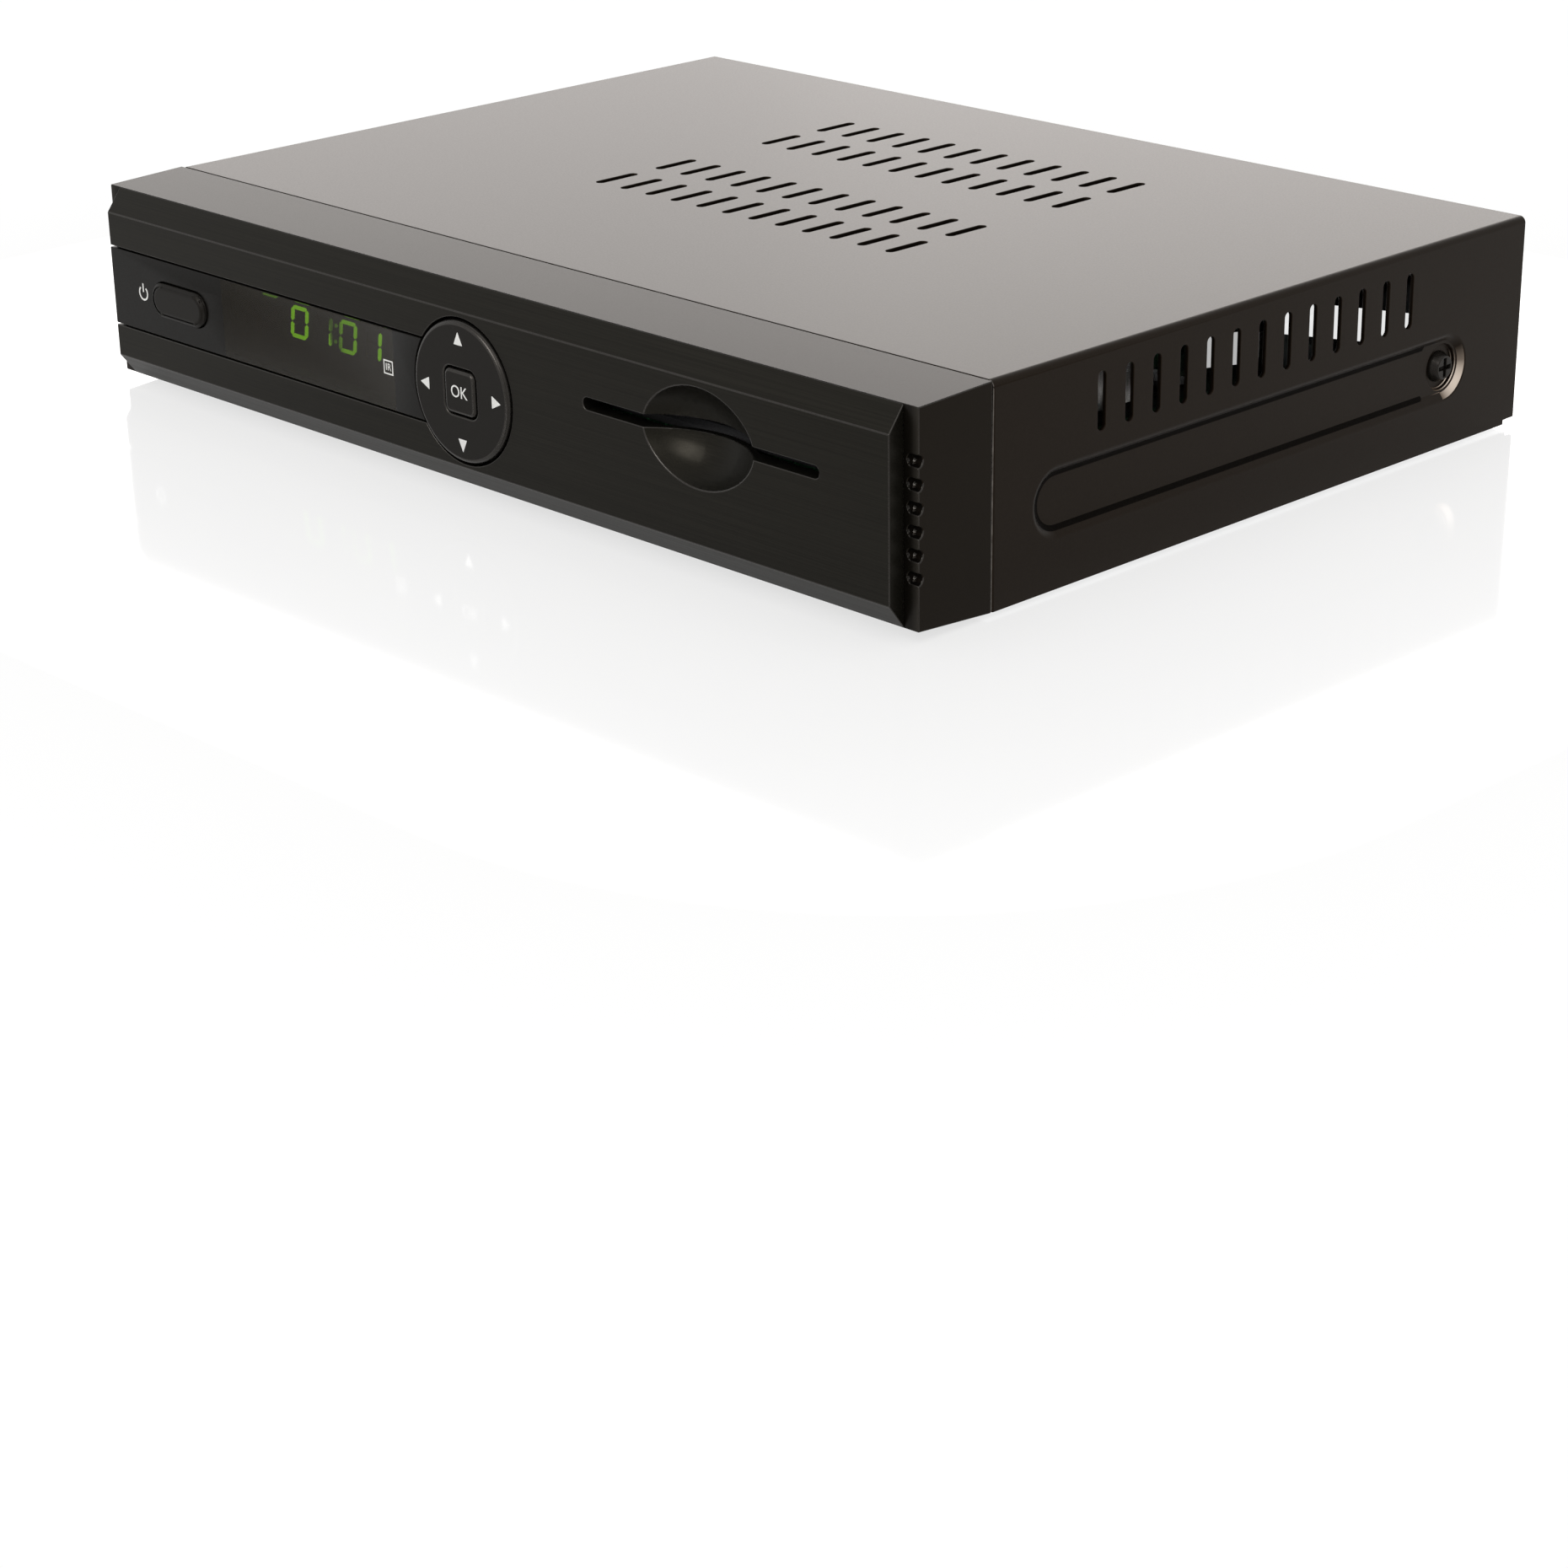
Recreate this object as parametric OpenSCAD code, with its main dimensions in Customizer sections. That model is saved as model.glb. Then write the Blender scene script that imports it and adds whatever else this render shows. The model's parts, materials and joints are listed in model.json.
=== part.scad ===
// Shelf-top digital television receiver: a moulded front with display, buttons and card slot,
// a steel cover over a steel chassis, and the boards and sockets inside.
// X runs to the right seen from the front, Y to the rear and Z up, in millimetres.
// The origin is the middle of the footprint, on the surface that the feet stand on.

/* [Body] */
// Width across the cover
body_w = 220; // [214:1:260]
// Height of the body without its feet
body_h = 39.4; // [38:0.2:48]
// Depth from the face to the rear edge of the cover
body_d = 165.5; // [160:0.5:220]
// Thickness of the sheet steel
sheet_t = 0.8; // [0.6:0.1:1.2]
// Play between the cover and what it slides over
cover_play = 0.15; // [0.1:0.05:0.3]
// Outside radius of the cover's long bends
bend_r = 1.3; // [1.3:0.1:3]
// Height of the base plate above the cover's lower edge
base_lift = 0.4; // [0.2:0.1:1]

/* [Feet] */
// Height of the feet below the body
foot_h = 0.8; // [0.8:0.1:8]
// Bevel of a foot's lower edge
foot_edge = 0.3; // [0.2:0.1:0.8]
// Diameter of a foot
foot_dia = 16; // [10:1:22]
// Distance of each foot's middle from the side of the body
foot_from_side = 20; // [16:1:40]
// Distance of the front feet's middle behind the face
foot_from_face = 46; // [42:1:60]
// Distance of the rear feet's middle ahead of the rear edge
foot_from_rear = 24; // [18:1:40]

/* [Front moulding] */
// Thickness of the face plate
plate_t = 3.4; // [3:0.1:4.4]
// Width of the frame's strip beside each end of the face plate
strip_w = 3.2; // [2.8:0.1:5]
// Height of the face plate's top and bottom bevels
bevel_h = 4.4; // [2:0.1:5]
// Depth of the frame behind the face plate
frame_d = 17.1; // [16:0.1:22]
// Wall of the frame
frame_wall = 2; // [1.6:0.1:2.4]
// Fall of the frame's top towards the face
frame_fall = 0.6; // [0:0.1:1.5]
// Rise of the frame's underside towards the face
frame_rise = 1.2; // [0.6:0.1:2]
// Number of notches in each end corner
notch_count = 6; // [2:1:7]
// Spacing of the notches
notch_pitch = 3.94; // [2.6:0.02:4.4]
// Radius of a notch
notch_r = 1.05; // [0.6:0.05:1.2]

/* [Display band] */
// Height of the band's middle above the body's underside
band_z = 19.85; // [19:0.05:21]
// Height of the band
band_h = 16; // [14:0.1:18]
// Open line between the band's window and the face plate
band_gap = 0.35; // [0.2:0.05:0.6]
// Thickness of the window in front of the digits
window_t = 2; // [1.2:0.1:2.6]
// Height of a digit
digit_h = 6.4; // [5:0.1:8]
// Width of a digit
digit_w = 5.1; // [4:0.1:5.6]
// Spacing of the digits
digit_pitch = 7.5; // [7:0.1:9]
// Width of a lit segment
segment_w = 0.7; // [0.6:0.05:1.1]
// Lean of the digits, in degrees
digit_lean = 9; // [0:1:12]
// Place of the display's middle, as a share of the face plate's width from its left end
display_at = 0.2832; // [0.275:0.0001:0.295]

/* [Buttons] */
// Place of the power button's middle, as a share of the face plate's width from its left end
power_at = 0.1053; // [0.09:0.0001:0.115]
// Length of the power button's hole
power_l = 17.4; // [14:0.1:19]
// Height of the power button's hole
power_h = 7.2; // [5:0.1:9]
// Gap round the power button
power_gap = 0.3; // [0.2:0.05:0.5]
// Height of the power and OK buttons above the face
button_proud = 0.9; // [0.6:0.1:1.5]
// Travel of the power and OK buttons
button_travel = 0.5; // [0.2:0.05:0.7]
// Place of the navigation ring's axis, as a share of the face plate's width from its left end
nav_at = 0.5056; // [0.495:0.0001:0.515]
// Diameter of the navigation ring's hole
nav_dia = 27.1; // [25:0.1:28.5]
// Gap round the navigation ring
nav_gap = 0.5; // [0.4:0.05:0.8]
// Height of the navigation ring above the face
nav_proud = 0.6; // [0:0.1:1]
// Tilt of the navigation ring to each side, in degrees
nav_tilt = 2; // [1:0.25:2.5]
// Size of the OK button's hole
ok_size = 8.9; // [8:0.1:9.4]
// Gap round the OK button
ok_gap = 0.35; // [0.3:0.05:0.5]
// Radius of the tilting frame's pins
pin_r = 0.6; // [0.5:0.05:0.7]
// Running clearance round the tilting frame's pins
pin_play = 0.05; // [0.02:0.01:0.1]

/* [Card slot] */
// Place of the slot's middle, as a share of the face plate's width from its left end
slot_at = 0.7921; // [0.785:0.0001:0.8]
// Height of the slot's middle above the body's underside
slot_z = 24.6; // [23.5:0.05:25.5]
// Length of the slot
slot_l = 57.4; // [56:0.1:60]
// Height of the slot
slot_h = 2.2; // [1.6:0.1:3]
// Length of the thumb dish
dish_l = 27; // [20:0.1:32]
// Height of the thumb dish
dish_h = 17.7; // [14:0.1:18]
// Depth of the thumb dish
dish_d = 5.5; // [4:0.1:6]
// Height of the slot's middle above the dish's middle
dish_drop = 0.3; // [0:0.1:1]
// Wall behind the thumb dish
dish_wall = 1.4; // [1:0.1:1.6]
// Width of the card's channel in the reader
card_w = 54.4; // [54.2:0.1:55]
// Height of the card's channel in the reader
card_h = 1; // [0.9:0.05:1.4]

/* [Vents and embosses] */
// Length of a vent slot
vent_l = 10.2; // [6:0.1:12]
// Width of a vent slot
vent_w = 1.9; // [1.2:0.1:2.6]
// Number of vents in each side
side_vents = 13; // [4:1:14]
// Spacing of the side vents
side_pitch = 6.97; // [5:0.01:7.4]
// Distance of the side vents' middle behind the face
side_vent_y = 88.9; // [86:0.1:96]
// Height of the side vents' middle above the body's underside
side_vent_z = 30.2; // [29:0.1:31]
// Number of vents in each row of the top
top_vents = 12; // [4:1:16]
// Spacing of the vents in a row
top_pitch = 7.15; // [5:0.05:9]
// Distance of the top vents' middle to the right of the middle
top_vent_x = 1.6; // [-10:0.1:10]
// Distance of the first row's middle behind the face
top_row_y = 72.3; // [60:0.1:80]
// Spacing of the two rows in a group
top_row_pitch = 15.7; // [13:0.1:20]
// Spacing of the two groups of rows
top_group_pitch = 44.8; // [40:0.1:55]
// Length of the emboss in each side
emboss_l = 118; // [100:0.5:120]
// Height of the emboss
emboss_h = 12; // [11:0.1:14]
// Depth of the emboss
emboss_d = 1; // [0.6:0.1:1.4]
// Slope of the emboss's edge, across
emboss_slope = 1.2; // [0.6:0.1:2]
// Distance of the emboss's middle behind the face
emboss_y = 89.7; // [86:0.1:94]
// Height of the emboss's middle above the body's underside
emboss_z = 15.3; // [14:0.1:16]
// Depth of the screw's dimple below the emboss
dimple_d = 0.8; // [0.4:0.1:1]
// Diameter of the screw's dimple
dimple_dia = 9; // [8:0.1:9.6]

/* [Fasteners] */
// Diameter of a screw's shank
screw_dia = 2.9; // [2.4:0.1:3.4]
// Diameter of a screw's head
head_dia = 6; // [5:0.1:6.6]
// Height of a screw's head
head_h = 1.8; // [1.2:0.1:2]
// Height of the low screw heads under the base plate
low_head_h = 0.7; // [0.5:0.1:0.9]
// Play round a screw in the piece that it grips
thread_play = 0.05; // [0.02:0.01:0.1]
// Play round a screw in the piece that it clamps
clear_play = 0.25; // [0.15:0.05:0.4]

/* [Boards] */
// Thickness of the circuit boards
board_t = 1.6; // [1:0.1:2]
// Height of the main board above the base plate
standoff_h = 6; // [5:0.5:8]
// Diameter of a standoff
standoff_dia = 6; // [5:0.1:7]
// Distance of the main board's edges from the sides of the body
board_from_side = 10; // [8:0.5:12]
// Distance from the frame's front wall to the front board
front_board_gap = 8.45; // [8.2:0.05:8.8]
// Height of a key switch with its stem
key_h = 5; // [4.6:0.1:5.4]
// Diameter of a key switch's stem
key_stem_dia = 3.4; // [2.5:0.1:3.8]

/* [Sockets] */
// Play round each socket in the rear wall
socket_play = 0.3; // [0.2:0.05:0.6]
// Reach of the aerial sockets behind the rear wall
aerial_reach = 10; // [7:0.5:14]
// Reach of the audio and video jacks behind the rear wall
jack_reach = 9; // [7:0.5:9.5]
// Reach of the other sockets behind the rear wall
socket_reach = 0.5; // [0.2:0.1:0.8]
// Outside diameter of the aerial output
aerial_out_dia = 9.5; // [9:0.1:10]
// Inside diameter of the aerial input
aerial_in_dia = 9.6; // [9.5:0.1:10]
// Spacing of the jacks
jack_pitch = 13; // [12:0.5:13.5]

/* [Hidden] */
$fn = 64;
far = 400;
skin = 0.1;

// Front moulding
strip_y = plate_t;
wall_y = strip_y + frame_wall;
seam_y = strip_y + frame_d;
plate_w = body_w - 2 * strip_w;
plate_low = frame_rise;
plate_high = body_h - frame_fall;
face_low = plate_low + bevel_h;
face_high = plate_high - bevel_h;
face_mid = (face_low + face_high) / 2;
room_low = frame_rise + frame_wall;
room_high = plate_high - frame_wall;
lip_t = 1.2;
lip_d = 3;
tongue_w = 14;
tongue_l = 12;
tongue_x = body_w * 0.27;

// Cover and chassis
inner_w = body_w - 2 * (sheet_t + cover_play);
inner_h = body_h - sheet_t - cover_play;
base_top = base_lift + sheet_t;
cover_flange_h = 8.5;
rear_out = body_d - sheet_t - cover_play;
rear_in = rear_out - sheet_t;
cover_gap = 0.2;
relief_l = 3.2;
relief_h = 0.9;
chassis_lip_h = 6;
tab_x = body_w / 2 - emboss_d - dimple_d - sheet_t;
tab_l = 16;
tab_h = emboss_z + 5.5;
screw_y = emboss_y + (emboss_l - emboss_h) / 2;
rear_screw_x = body_w * 0.34;
rear_screw_z = body_h - cover_flange_h / 2;

// Display and buttons
power_x = plate_w * (power_at - 0.5);
display_x = plate_w * (display_at - 0.5);
nav_x = plate_w * (nav_at - 0.5);
nav_r = nav_dia / 2;
collar_r = nav_r + 2;
collar_in_r = nav_r - 1.55;
carrier_gap = 0.4;
carrier_r = collar_in_r - carrier_gap;
carrier_in_r = carrier_r - 2.6;
carrier_t = 1.8;
hub_r = carrier_in_r - carrier_gap;
ok_flange_r = ok_size / 2 + 0.95;
hub_in_r = ok_flange_r + 0.5;
ring_back = plate_t - 1;
pivot_y = strip_y + 1.8;
board_y = wall_y + front_board_gap;
board_back = board_y + board_t;
key_y = board_y - key_h;
hub_back = key_y - hub_r * sin(nav_tilt) - 0.15;
key_size = 6;
key_body_h = 3.5;
key_front = board_y - key_body_h;
key_grip = 1;
nav_key_r = max((hub_in_r + hub_r) / 2, key_size + 0.2);
flange_t = 1;

// Card slot and reader
slot_x = plate_w * (slot_at - 0.5);
dish_z = slot_z - dish_drop;
dish_sum = dish_h * dish_h / 4 / dish_d;
dish_r = (dish_sum + dish_d) / 2;
dish_axis = (dish_sum - dish_d) / 2;
dish_arc = (dish_l * dish_l / 4 + dish_d * dish_d) / (2 * dish_d);
reader_y = max(dish_d + dish_wall, wall_y) + 0.4;
reader_l = 48;
reader_wall = 2.8;
reader_w = card_w + 2 * reader_wall;
reader_low = slot_z - 2.6;
reader_high = slot_z + 2.8;
card_board_edge = 6;
card_board_w = reader_w + 2 * card_board_edge;
card_board_y = reader_y + 1.6;
card_board_l = reader_l;
card_board_low = reader_low - board_t;
card_post_dia = 5;
card_post_tip = 2.8;

// Boards
main_low = base_top + standoff_h;
main_top = main_low + board_t;
main_half = body_w / 2 - board_from_side;
main_front = seam_y + 4.5;
main_rear = rear_in - 3.2;
standoff_inset = 15;
standoff_front_y = main_front + standoff_inset;
standoff_from_edge = 5;
standoff_x = main_half - standoff_from_edge;
front_board_inset = 9;
front_board_past_ring = 9;
front_board_margin = 1.5;
front_left = -plate_w / 2 + front_board_inset;
front_right = min(nav_x + nav_r + front_board_past_ring, slot_x - card_board_w / 2 - front_board_margin);
front_low = room_low + front_board_margin;
front_high = room_high - front_board_margin;
boss_inset = 4;
boss_dia = 5.4;
cable_x = -60;
cable_w = 12;
cable_z = main_top + 4.2;

// Display module and its neighbours
module_w = 35.5;
module_h = 14;
module_front = wall_y + front_board_gap - 5.25;
segment_t = 0.3;
digit_drop = 0.15;
eye_x = (display_x + module_w / 2 + nav_x - collar_r) / 2;
eye_z = band_z + 0.45;
lamp_x = display_x - 20.7;
lamp_z = band_z + 3.4;
lamp_w = 3.9;
lamp_h = 1.2;
opening_left = lamp_x - lamp_w / 2 - 1.5;
opening_right = eye_x + 4.5;
opening_h = band_h - 1.2;

// Sockets
tuner_w = 42;
tuner_l = 50;
tuner_h = 16;
aerial_wall = 0.7;
contact_r = 1.2;
jack_z = main_top + 7;
jack_dia = 8.3;
jack_count = 4;
jack_block_l = 12;
jack_block_h = 14;
inlet_w = 9;
inlet_h = 11;
inlet_l = 14.5;
inlet_bore = 6.3;
network_w = 16;
network_h = 13.5;
network_l = 21;
network_mouth_w = 11.8;
network_mouth_h = 7.4;
data_w = 14.5;
data_h = 7;
data_l = 17.5;
data_wall = 0.5;
video_w = 15;
video_h = 6.2;
video_l = 12;
video_wall = 0.5;
socket_back = rear_out + socket_reach;

// Sockets side by side along the rear, with equal gaps
socket_margin = 9;
jacks_w = jack_pitch * jack_count;
sockets_w = inlet_w + jacks_w + data_w + network_w + video_w + tuner_w;
socket_gap = (2 * (main_half - socket_margin) - sockets_w) / 5;
inlet_x = socket_margin - main_half + inlet_w / 2;
jacks_x = inlet_x + socket_gap + (inlet_w + jacks_w) / 2;
data_x = jacks_x + socket_gap + (jacks_w + data_w) / 2;
network_x = data_x + socket_gap + (data_w + network_w) / 2;
video_x = network_x + socket_gap + (network_w + video_w) / 2;
tuner_x = video_x + socket_gap + (video_w + tuner_w) / 2;
aerial_in_x = tuner_x - tuner_w / 4;
aerial_out_x = tuner_x + tuner_w / 4;
aerial_z = main_top + tuner_h / 2;
standoff_rear_y = socket_back - network_l - head_dia / 2 - 1;

// Overall depth, and the place of the face behind the origin
front_reach = max(button_proud, nav_proud);
rear_reach = rear_out + max(aerial_reach, jack_reach) - body_d;
face_y = -(front_reach + body_d + rear_reach) / 2 + front_reach;

// Shared shapes. Modules below are drawn with the face at Y 0 and the body's underside at Z 0.
module in_body() translate([0, face_y, foot_h]) children();
module both_sides() { children(); mirror([1, 0, 0]) children(); }
module block(x0, x1, y0, y1, z0, z1) translate([x0, y0, z0]) cube([x1 - x0, y1 - y0, z1 - z0]);
module rod_x(x0, x1, y, z, r) translate([x0, y, z]) rotate([0, 90, 0]) cylinder(r = r, h = x1 - x0);
module rod_y(x, y0, y1, z, r) translate([x, y0, z]) rotate([-90, 0, 0]) cylinder(r = r, h = y1 - y0);
module rod_z(x, y, z0, z1, r) translate([x, y, z0]) cylinder(r = r, h = z1 - z0);
module along_x(w) rotate([90, 0, 90]) translate([0, 0, -w / 2]) linear_extrude(w) children();
module along_y(y0, y1) translate([0, y1, 0]) rotate([90, 0, 0]) linear_extrude(y1 - y0) children();

// Bar with round ends, along X, standing up Z
module round_bar(length, width, height) {
    straight = length - width;
    translate([-straight / 2, -width / 2, 0]) cube([straight, width, height]);
    for (side = [-1, 1]) translate([side * straight / 2, 0, 0]) cylinder(d = width, h = height);
}

// Bar with round ends whose edge slopes inwards on the way up
module sloped_bar(length, width, slope, height) {
    straight = length - width;
    along_x(straight) polygon([
        [-width / 2, 0], [width / 2, 0], [width / 2 - slope, height], [slope - width / 2, height]]);
    for (side = [-1, 1]) translate([side * straight / 2, 0, 0])
        cylinder(d1 = width, d2 = width - 2 * slope, h = height);
}

// Bar with round ends lying in the face, from Y y0 back to y1
module face_bar(x, y0, y1, z, length, width)
    translate([x, y0, z]) rotate([-90, 0, 0]) round_bar(length, width, y1 - y0);

// Square with round corners, in the plane
module round_square(size, r) {
    square([size - 2 * r, size], center = true);
    square([size, size - 2 * r], center = true);
    for (sx = [-1, 1]) for (sy = [-1, 1]) translate([sx, sy] * (size / 2 - r)) circle(r);
}

// Pan-head screw with its head's seat at the origin, shank down Z, and a cross recess
module pan_screw(shank_l, rise = head_h) difference() {
    union() {
        cylinder(d1 = head_dia, d2 = head_dia * 0.72, h = rise);
        translate([0, 0, -shank_l]) cylinder(d = screw_dia, h = shank_l + skin);
    }
    for (turn = [0, 90]) rotate([0, 0, turn])
        translate([-head_dia * 0.3, -head_dia * 0.07, rise * 0.4])
            cube([head_dia * 0.6, head_dia * 0.14, rise]);
}

// Places on the right side of the body: X along the body, Z into it
module on_side() translate([body_w / 2, 0, 0]) rotate([0, -90, 0]) rotate([0, 0, 90]) children();
module at_screw() on_side() translate([screw_y, -emboss_z, 0]) children();

// Steel cover
module cover_outline(w, h, r) {
    translate([-w / 2, 0]) square([w, h - r]);
    translate([r - w / 2, 0]) square([w - 2 * r, h]);
    for (side = [-1, 1]) translate([side * (w / 2 - r), h - r]) circle(r);
}
module emboss_back() {
    grow = sheet_t * 0.6;
    on_side() translate([emboss_y, -emboss_z, sheet_t / 2])
        sloped_bar(emboss_l + 2 * grow, emboss_h + 2 * grow, emboss_slope, emboss_d + sheet_t / 2);
    at_screw() translate([0, 0, sheet_t / 2])
        cylinder(d = dimple_dia + 2 * grow, h = emboss_d + dimple_d + sheet_t / 2);
}
module emboss_cut() {
    on_side() translate([emboss_y, -emboss_z, 0]) sloped_bar(emboss_l, emboss_h, emboss_slope, emboss_d);
    at_screw() cylinder(d1 = dimple_dia, d2 = dimple_dia - 0.6, h = emboss_d + dimple_d);
    at_screw() cylinder(r = screw_dia / 2 + clear_play, h = far / 20);
}
module side_vent_cuts() for (i = [0 : side_vents - 1])
    on_side() translate([side_vent_y + (i - (side_vents - 1) / 2) * side_pitch, -side_vent_z, -skin])
        rotate([0, 0, 90]) round_bar(vent_l, vent_w, sheet_t + 2 * skin);
module top_vent_cuts() for (group = [0, 1]) for (row = [0, 1]) for (i = [0 : top_vents - 1])
    translate([top_vent_x + (i - (top_vents - 1) / 2) * top_pitch,
            top_row_y + group * top_group_pitch + row * top_row_pitch, body_h - sheet_t - skin])
        rotate([0, 0, 90]) round_bar(vent_l, vent_w, sheet_t + 2 * skin);
module at_rear_screws() for (side = [-1, 0, 1]) translate([side * rear_screw_x, 0, rear_screw_z]) children();
module top_cover() in_body() color("#2b2927") difference() {
    union() {
        difference() {
            along_y(seam_y + cover_gap, body_d) cover_outline(body_w, body_h, bend_r);
            along_y(seam_y, body_d - sheet_t) translate([0, -skin])
                cover_outline(body_w - 2 * sheet_t, body_h - sheet_t + skin, bend_r - sheet_t);
            block(sheet_t - body_w / 2, body_w / 2 - sheet_t, body_d - 2 * sheet_t, body_d + skin,
                -skin, body_h - cover_flange_h);
        }
        both_sides() emboss_back();
    }
    both_sides() emboss_cut();
    both_sides() side_vent_cuts();
    top_vent_cuts();
    at_rear_screws() rod_y(0, rear_in, body_d + skin, 0, screw_dia / 2 + clear_play);
    both_sides() block(body_w / 2 - 2 * sheet_t, body_w / 2 + skin, body_d - relief_l, body_d + skin,
        -skin, relief_h);
}

// Chassis: base plate, rear wall, side lips and screw tabs, bent from one sheet
module socket_hole(x, w, z0, z1)
    block(x - w / 2 - socket_play, x + w / 2 + socket_play, rear_in - skin, rear_out + skin,
        z0 - socket_play, z1 + socket_play);
module rear_holes() {
    for (x = [aerial_in_x, aerial_out_x])
        rod_y(x, rear_in - skin, rear_out + skin, aerial_z, aerial_in_dia / 2 + aerial_wall + socket_play);
    socket_hole(video_x, video_w, main_top, main_top + video_h);
    socket_hole(network_x, network_w, main_top, main_top + network_h);
    socket_hole(data_x, data_w, main_top, main_top + data_h);
    socket_hole(inlet_x, inlet_w, main_top, main_top + inlet_h);
    for (i = [0 : jack_count - 1])
        rod_y(jack_place(i), rear_in - skin, rear_out + skin, jack_z, jack_dia / 2 + socket_play);
    at_rear_screws() rod_y(0, rear_in - skin, rear_out + skin, 0, screw_dia / 2 + thread_play);
}
function jack_place(i) = jacks_x + (i - (jack_count - 1) / 2) * jack_pitch;
module at_feet() for (sx = [-1, 1]) for (y = [foot_from_face, body_d - foot_from_rear])
    translate([sx * (body_w / 2 - foot_from_side), y, 0]) children();
module at_tongues() for (sx = [-1, 1]) translate([sx * tongue_x, seam_y + tongue_l / 2, 0]) children();
module base_vent_cuts() for (row = [-1, 1]) for (i = [0 : top_vents - 1])
    translate([(i - (top_vents - 1) / 2) * top_pitch, (seam_y + rear_in) / 2 + row * top_row_pitch,
            base_lift - skin])
        rotate([0, 0, 90]) round_bar(vent_l, vent_w, sheet_t + 2 * skin);
module chassis() in_body() color("#8f9294") difference() {
    union() {
        block(-inner_w / 2, inner_w / 2, seam_y + cover_gap, rear_out, base_lift, base_top);
        block(-inner_w / 2, inner_w / 2, rear_in, rear_out, base_lift, inner_h);
        both_sides() block(inner_w / 2 - sheet_t, inner_w / 2, seam_y + cover_gap, rear_out,
            base_lift, base_lift + chassis_lip_h);
        both_sides() block(tab_x - sheet_t, tab_x, screw_y - tab_l / 2, screw_y + tab_l / 2,
            base_lift, tab_h);
    }
    rear_holes();
    base_vent_cuts();
    at_tongues() rod_z(0, 0, base_lift - skin, base_top + skin, screw_dia / 2 + clear_play);
    both_sides() rod_x(tab_x - 2 * sheet_t, tab_x + skin, screw_y, emboss_z, screw_dia / 2 + thread_play);
}
module rubber_feet() in_body() color("#1b1b1c") at_feet() {
    translate([0, 0, -foot_h]) cylinder(d1 = foot_dia - 2 * foot_edge, d2 = foot_dia, h = foot_edge);
    translate([0, 0, foot_edge - foot_h]) cylinder(d = foot_dia, h = foot_h + base_lift - foot_edge);
}

// Screws
module side_screws() in_body() color("#161616") both_sides()
    at_screw() translate([0, 0, emboss_d + dimple_d]) rotate([180, 0, 0]) pan_screw(6);
module rear_screws() in_body() color("#161616")
    at_rear_screws() translate([0, body_d, 0]) rotate([-90, 0, 0]) pan_screw(6);
module front_screws() in_body() color("#9a9ea1")
    at_tongues() translate([0, 0, base_lift]) rotate([180, 0, 0]) pan_screw(sheet_t + 1.6, low_head_h);

// Front frame: collar behind the face plate, with its front wall, pivot collar, bosses and tongues
module at_notches() for (i = [0 : notch_count - 1])
    translate([body_w / 2, strip_y, face_mid + (i - (notch_count - 1) / 2) * notch_pitch]) children();
module at_bosses() for (x = [front_left + boss_inset, front_right - boss_inset])
    for (z = [front_low + boss_inset - 1, front_high - boss_inset + 1]) translate([x, 0, z]) children();
module power_hole(y0, y1, grow) face_bar(power_x, y0, y1, band_z, power_l + 2 * grow, power_h + 2 * grow);
module display_opening(y0, y1)
    block(opening_left, opening_right, y0, y1, band_z - opening_h / 2, band_z + opening_h / 2);
module frame_lip() difference() {
    block(-inner_w / 2, inner_w / 2, seam_y - skin, seam_y + lip_d,
        base_lift + chassis_lip_h + 1.6, inner_h);
    block(lip_t - inner_w / 2, inner_w / 2 - lip_t, seam_y - 2 * skin, seam_y + lip_d + skin,
        0, inner_h - lip_t);
}
module front_frame() in_body() color("#242321") difference() {
    union() {
        difference() {
            along_x(body_w) polygon([
                [strip_y, frame_rise], [seam_y, 0], [seam_y, body_h], [strip_y, plate_high]]);
            block(frame_wall - body_w / 2, body_w / 2 - frame_wall, wall_y, seam_y + skin,
                room_low, room_high);
        }
        frame_lip();
        at_tongues() block(-tongue_w / 2, tongue_w / 2, -tongue_l / 2 - frame_wall, tongue_l / 2,
            base_top, base_top + frame_wall);
        rod_y(nav_x, strip_y + skin, key_y - 0.45, band_z, collar_r);
        at_bosses() rod_y(0, wall_y - skin, board_y, 0, boss_dia / 2);
    }
    rod_y(nav_x, strip_y - skin, board_y, band_z, collar_in_r);
    rod_z(nav_x, pivot_y, band_z - collar_r + 0.6, band_z + collar_r - 0.6, pin_r + pin_play);
    power_hole(strip_y - skin, wall_y + skin, 1.4);
    display_opening(strip_y - skin, wall_y + skin);
    block(slot_x - slot_l / 2 - 1.6, slot_x + slot_l / 2 + 1.6, strip_y - skin, wall_y + skin,
        dish_z - dish_h / 2 - 0.6, dish_z + dish_h / 2 + 0.6);
    both_sides() at_notches() {
        rod_x(-strip_w + notch_r + 0.6, 1, 0, 0, notch_r);
        translate([notch_r + 0.6 - strip_w, 0, 0]) sphere(r = notch_r);
    }
    at_bosses() rod_y(0, wall_y + 1, board_y + skin, 0, screw_dia / 2 - 0.4 + thread_play);
    at_tongues() rod_z(0, 0, base_top - skin, base_top + 1.7, screw_dia / 2 + thread_play);
}

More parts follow.
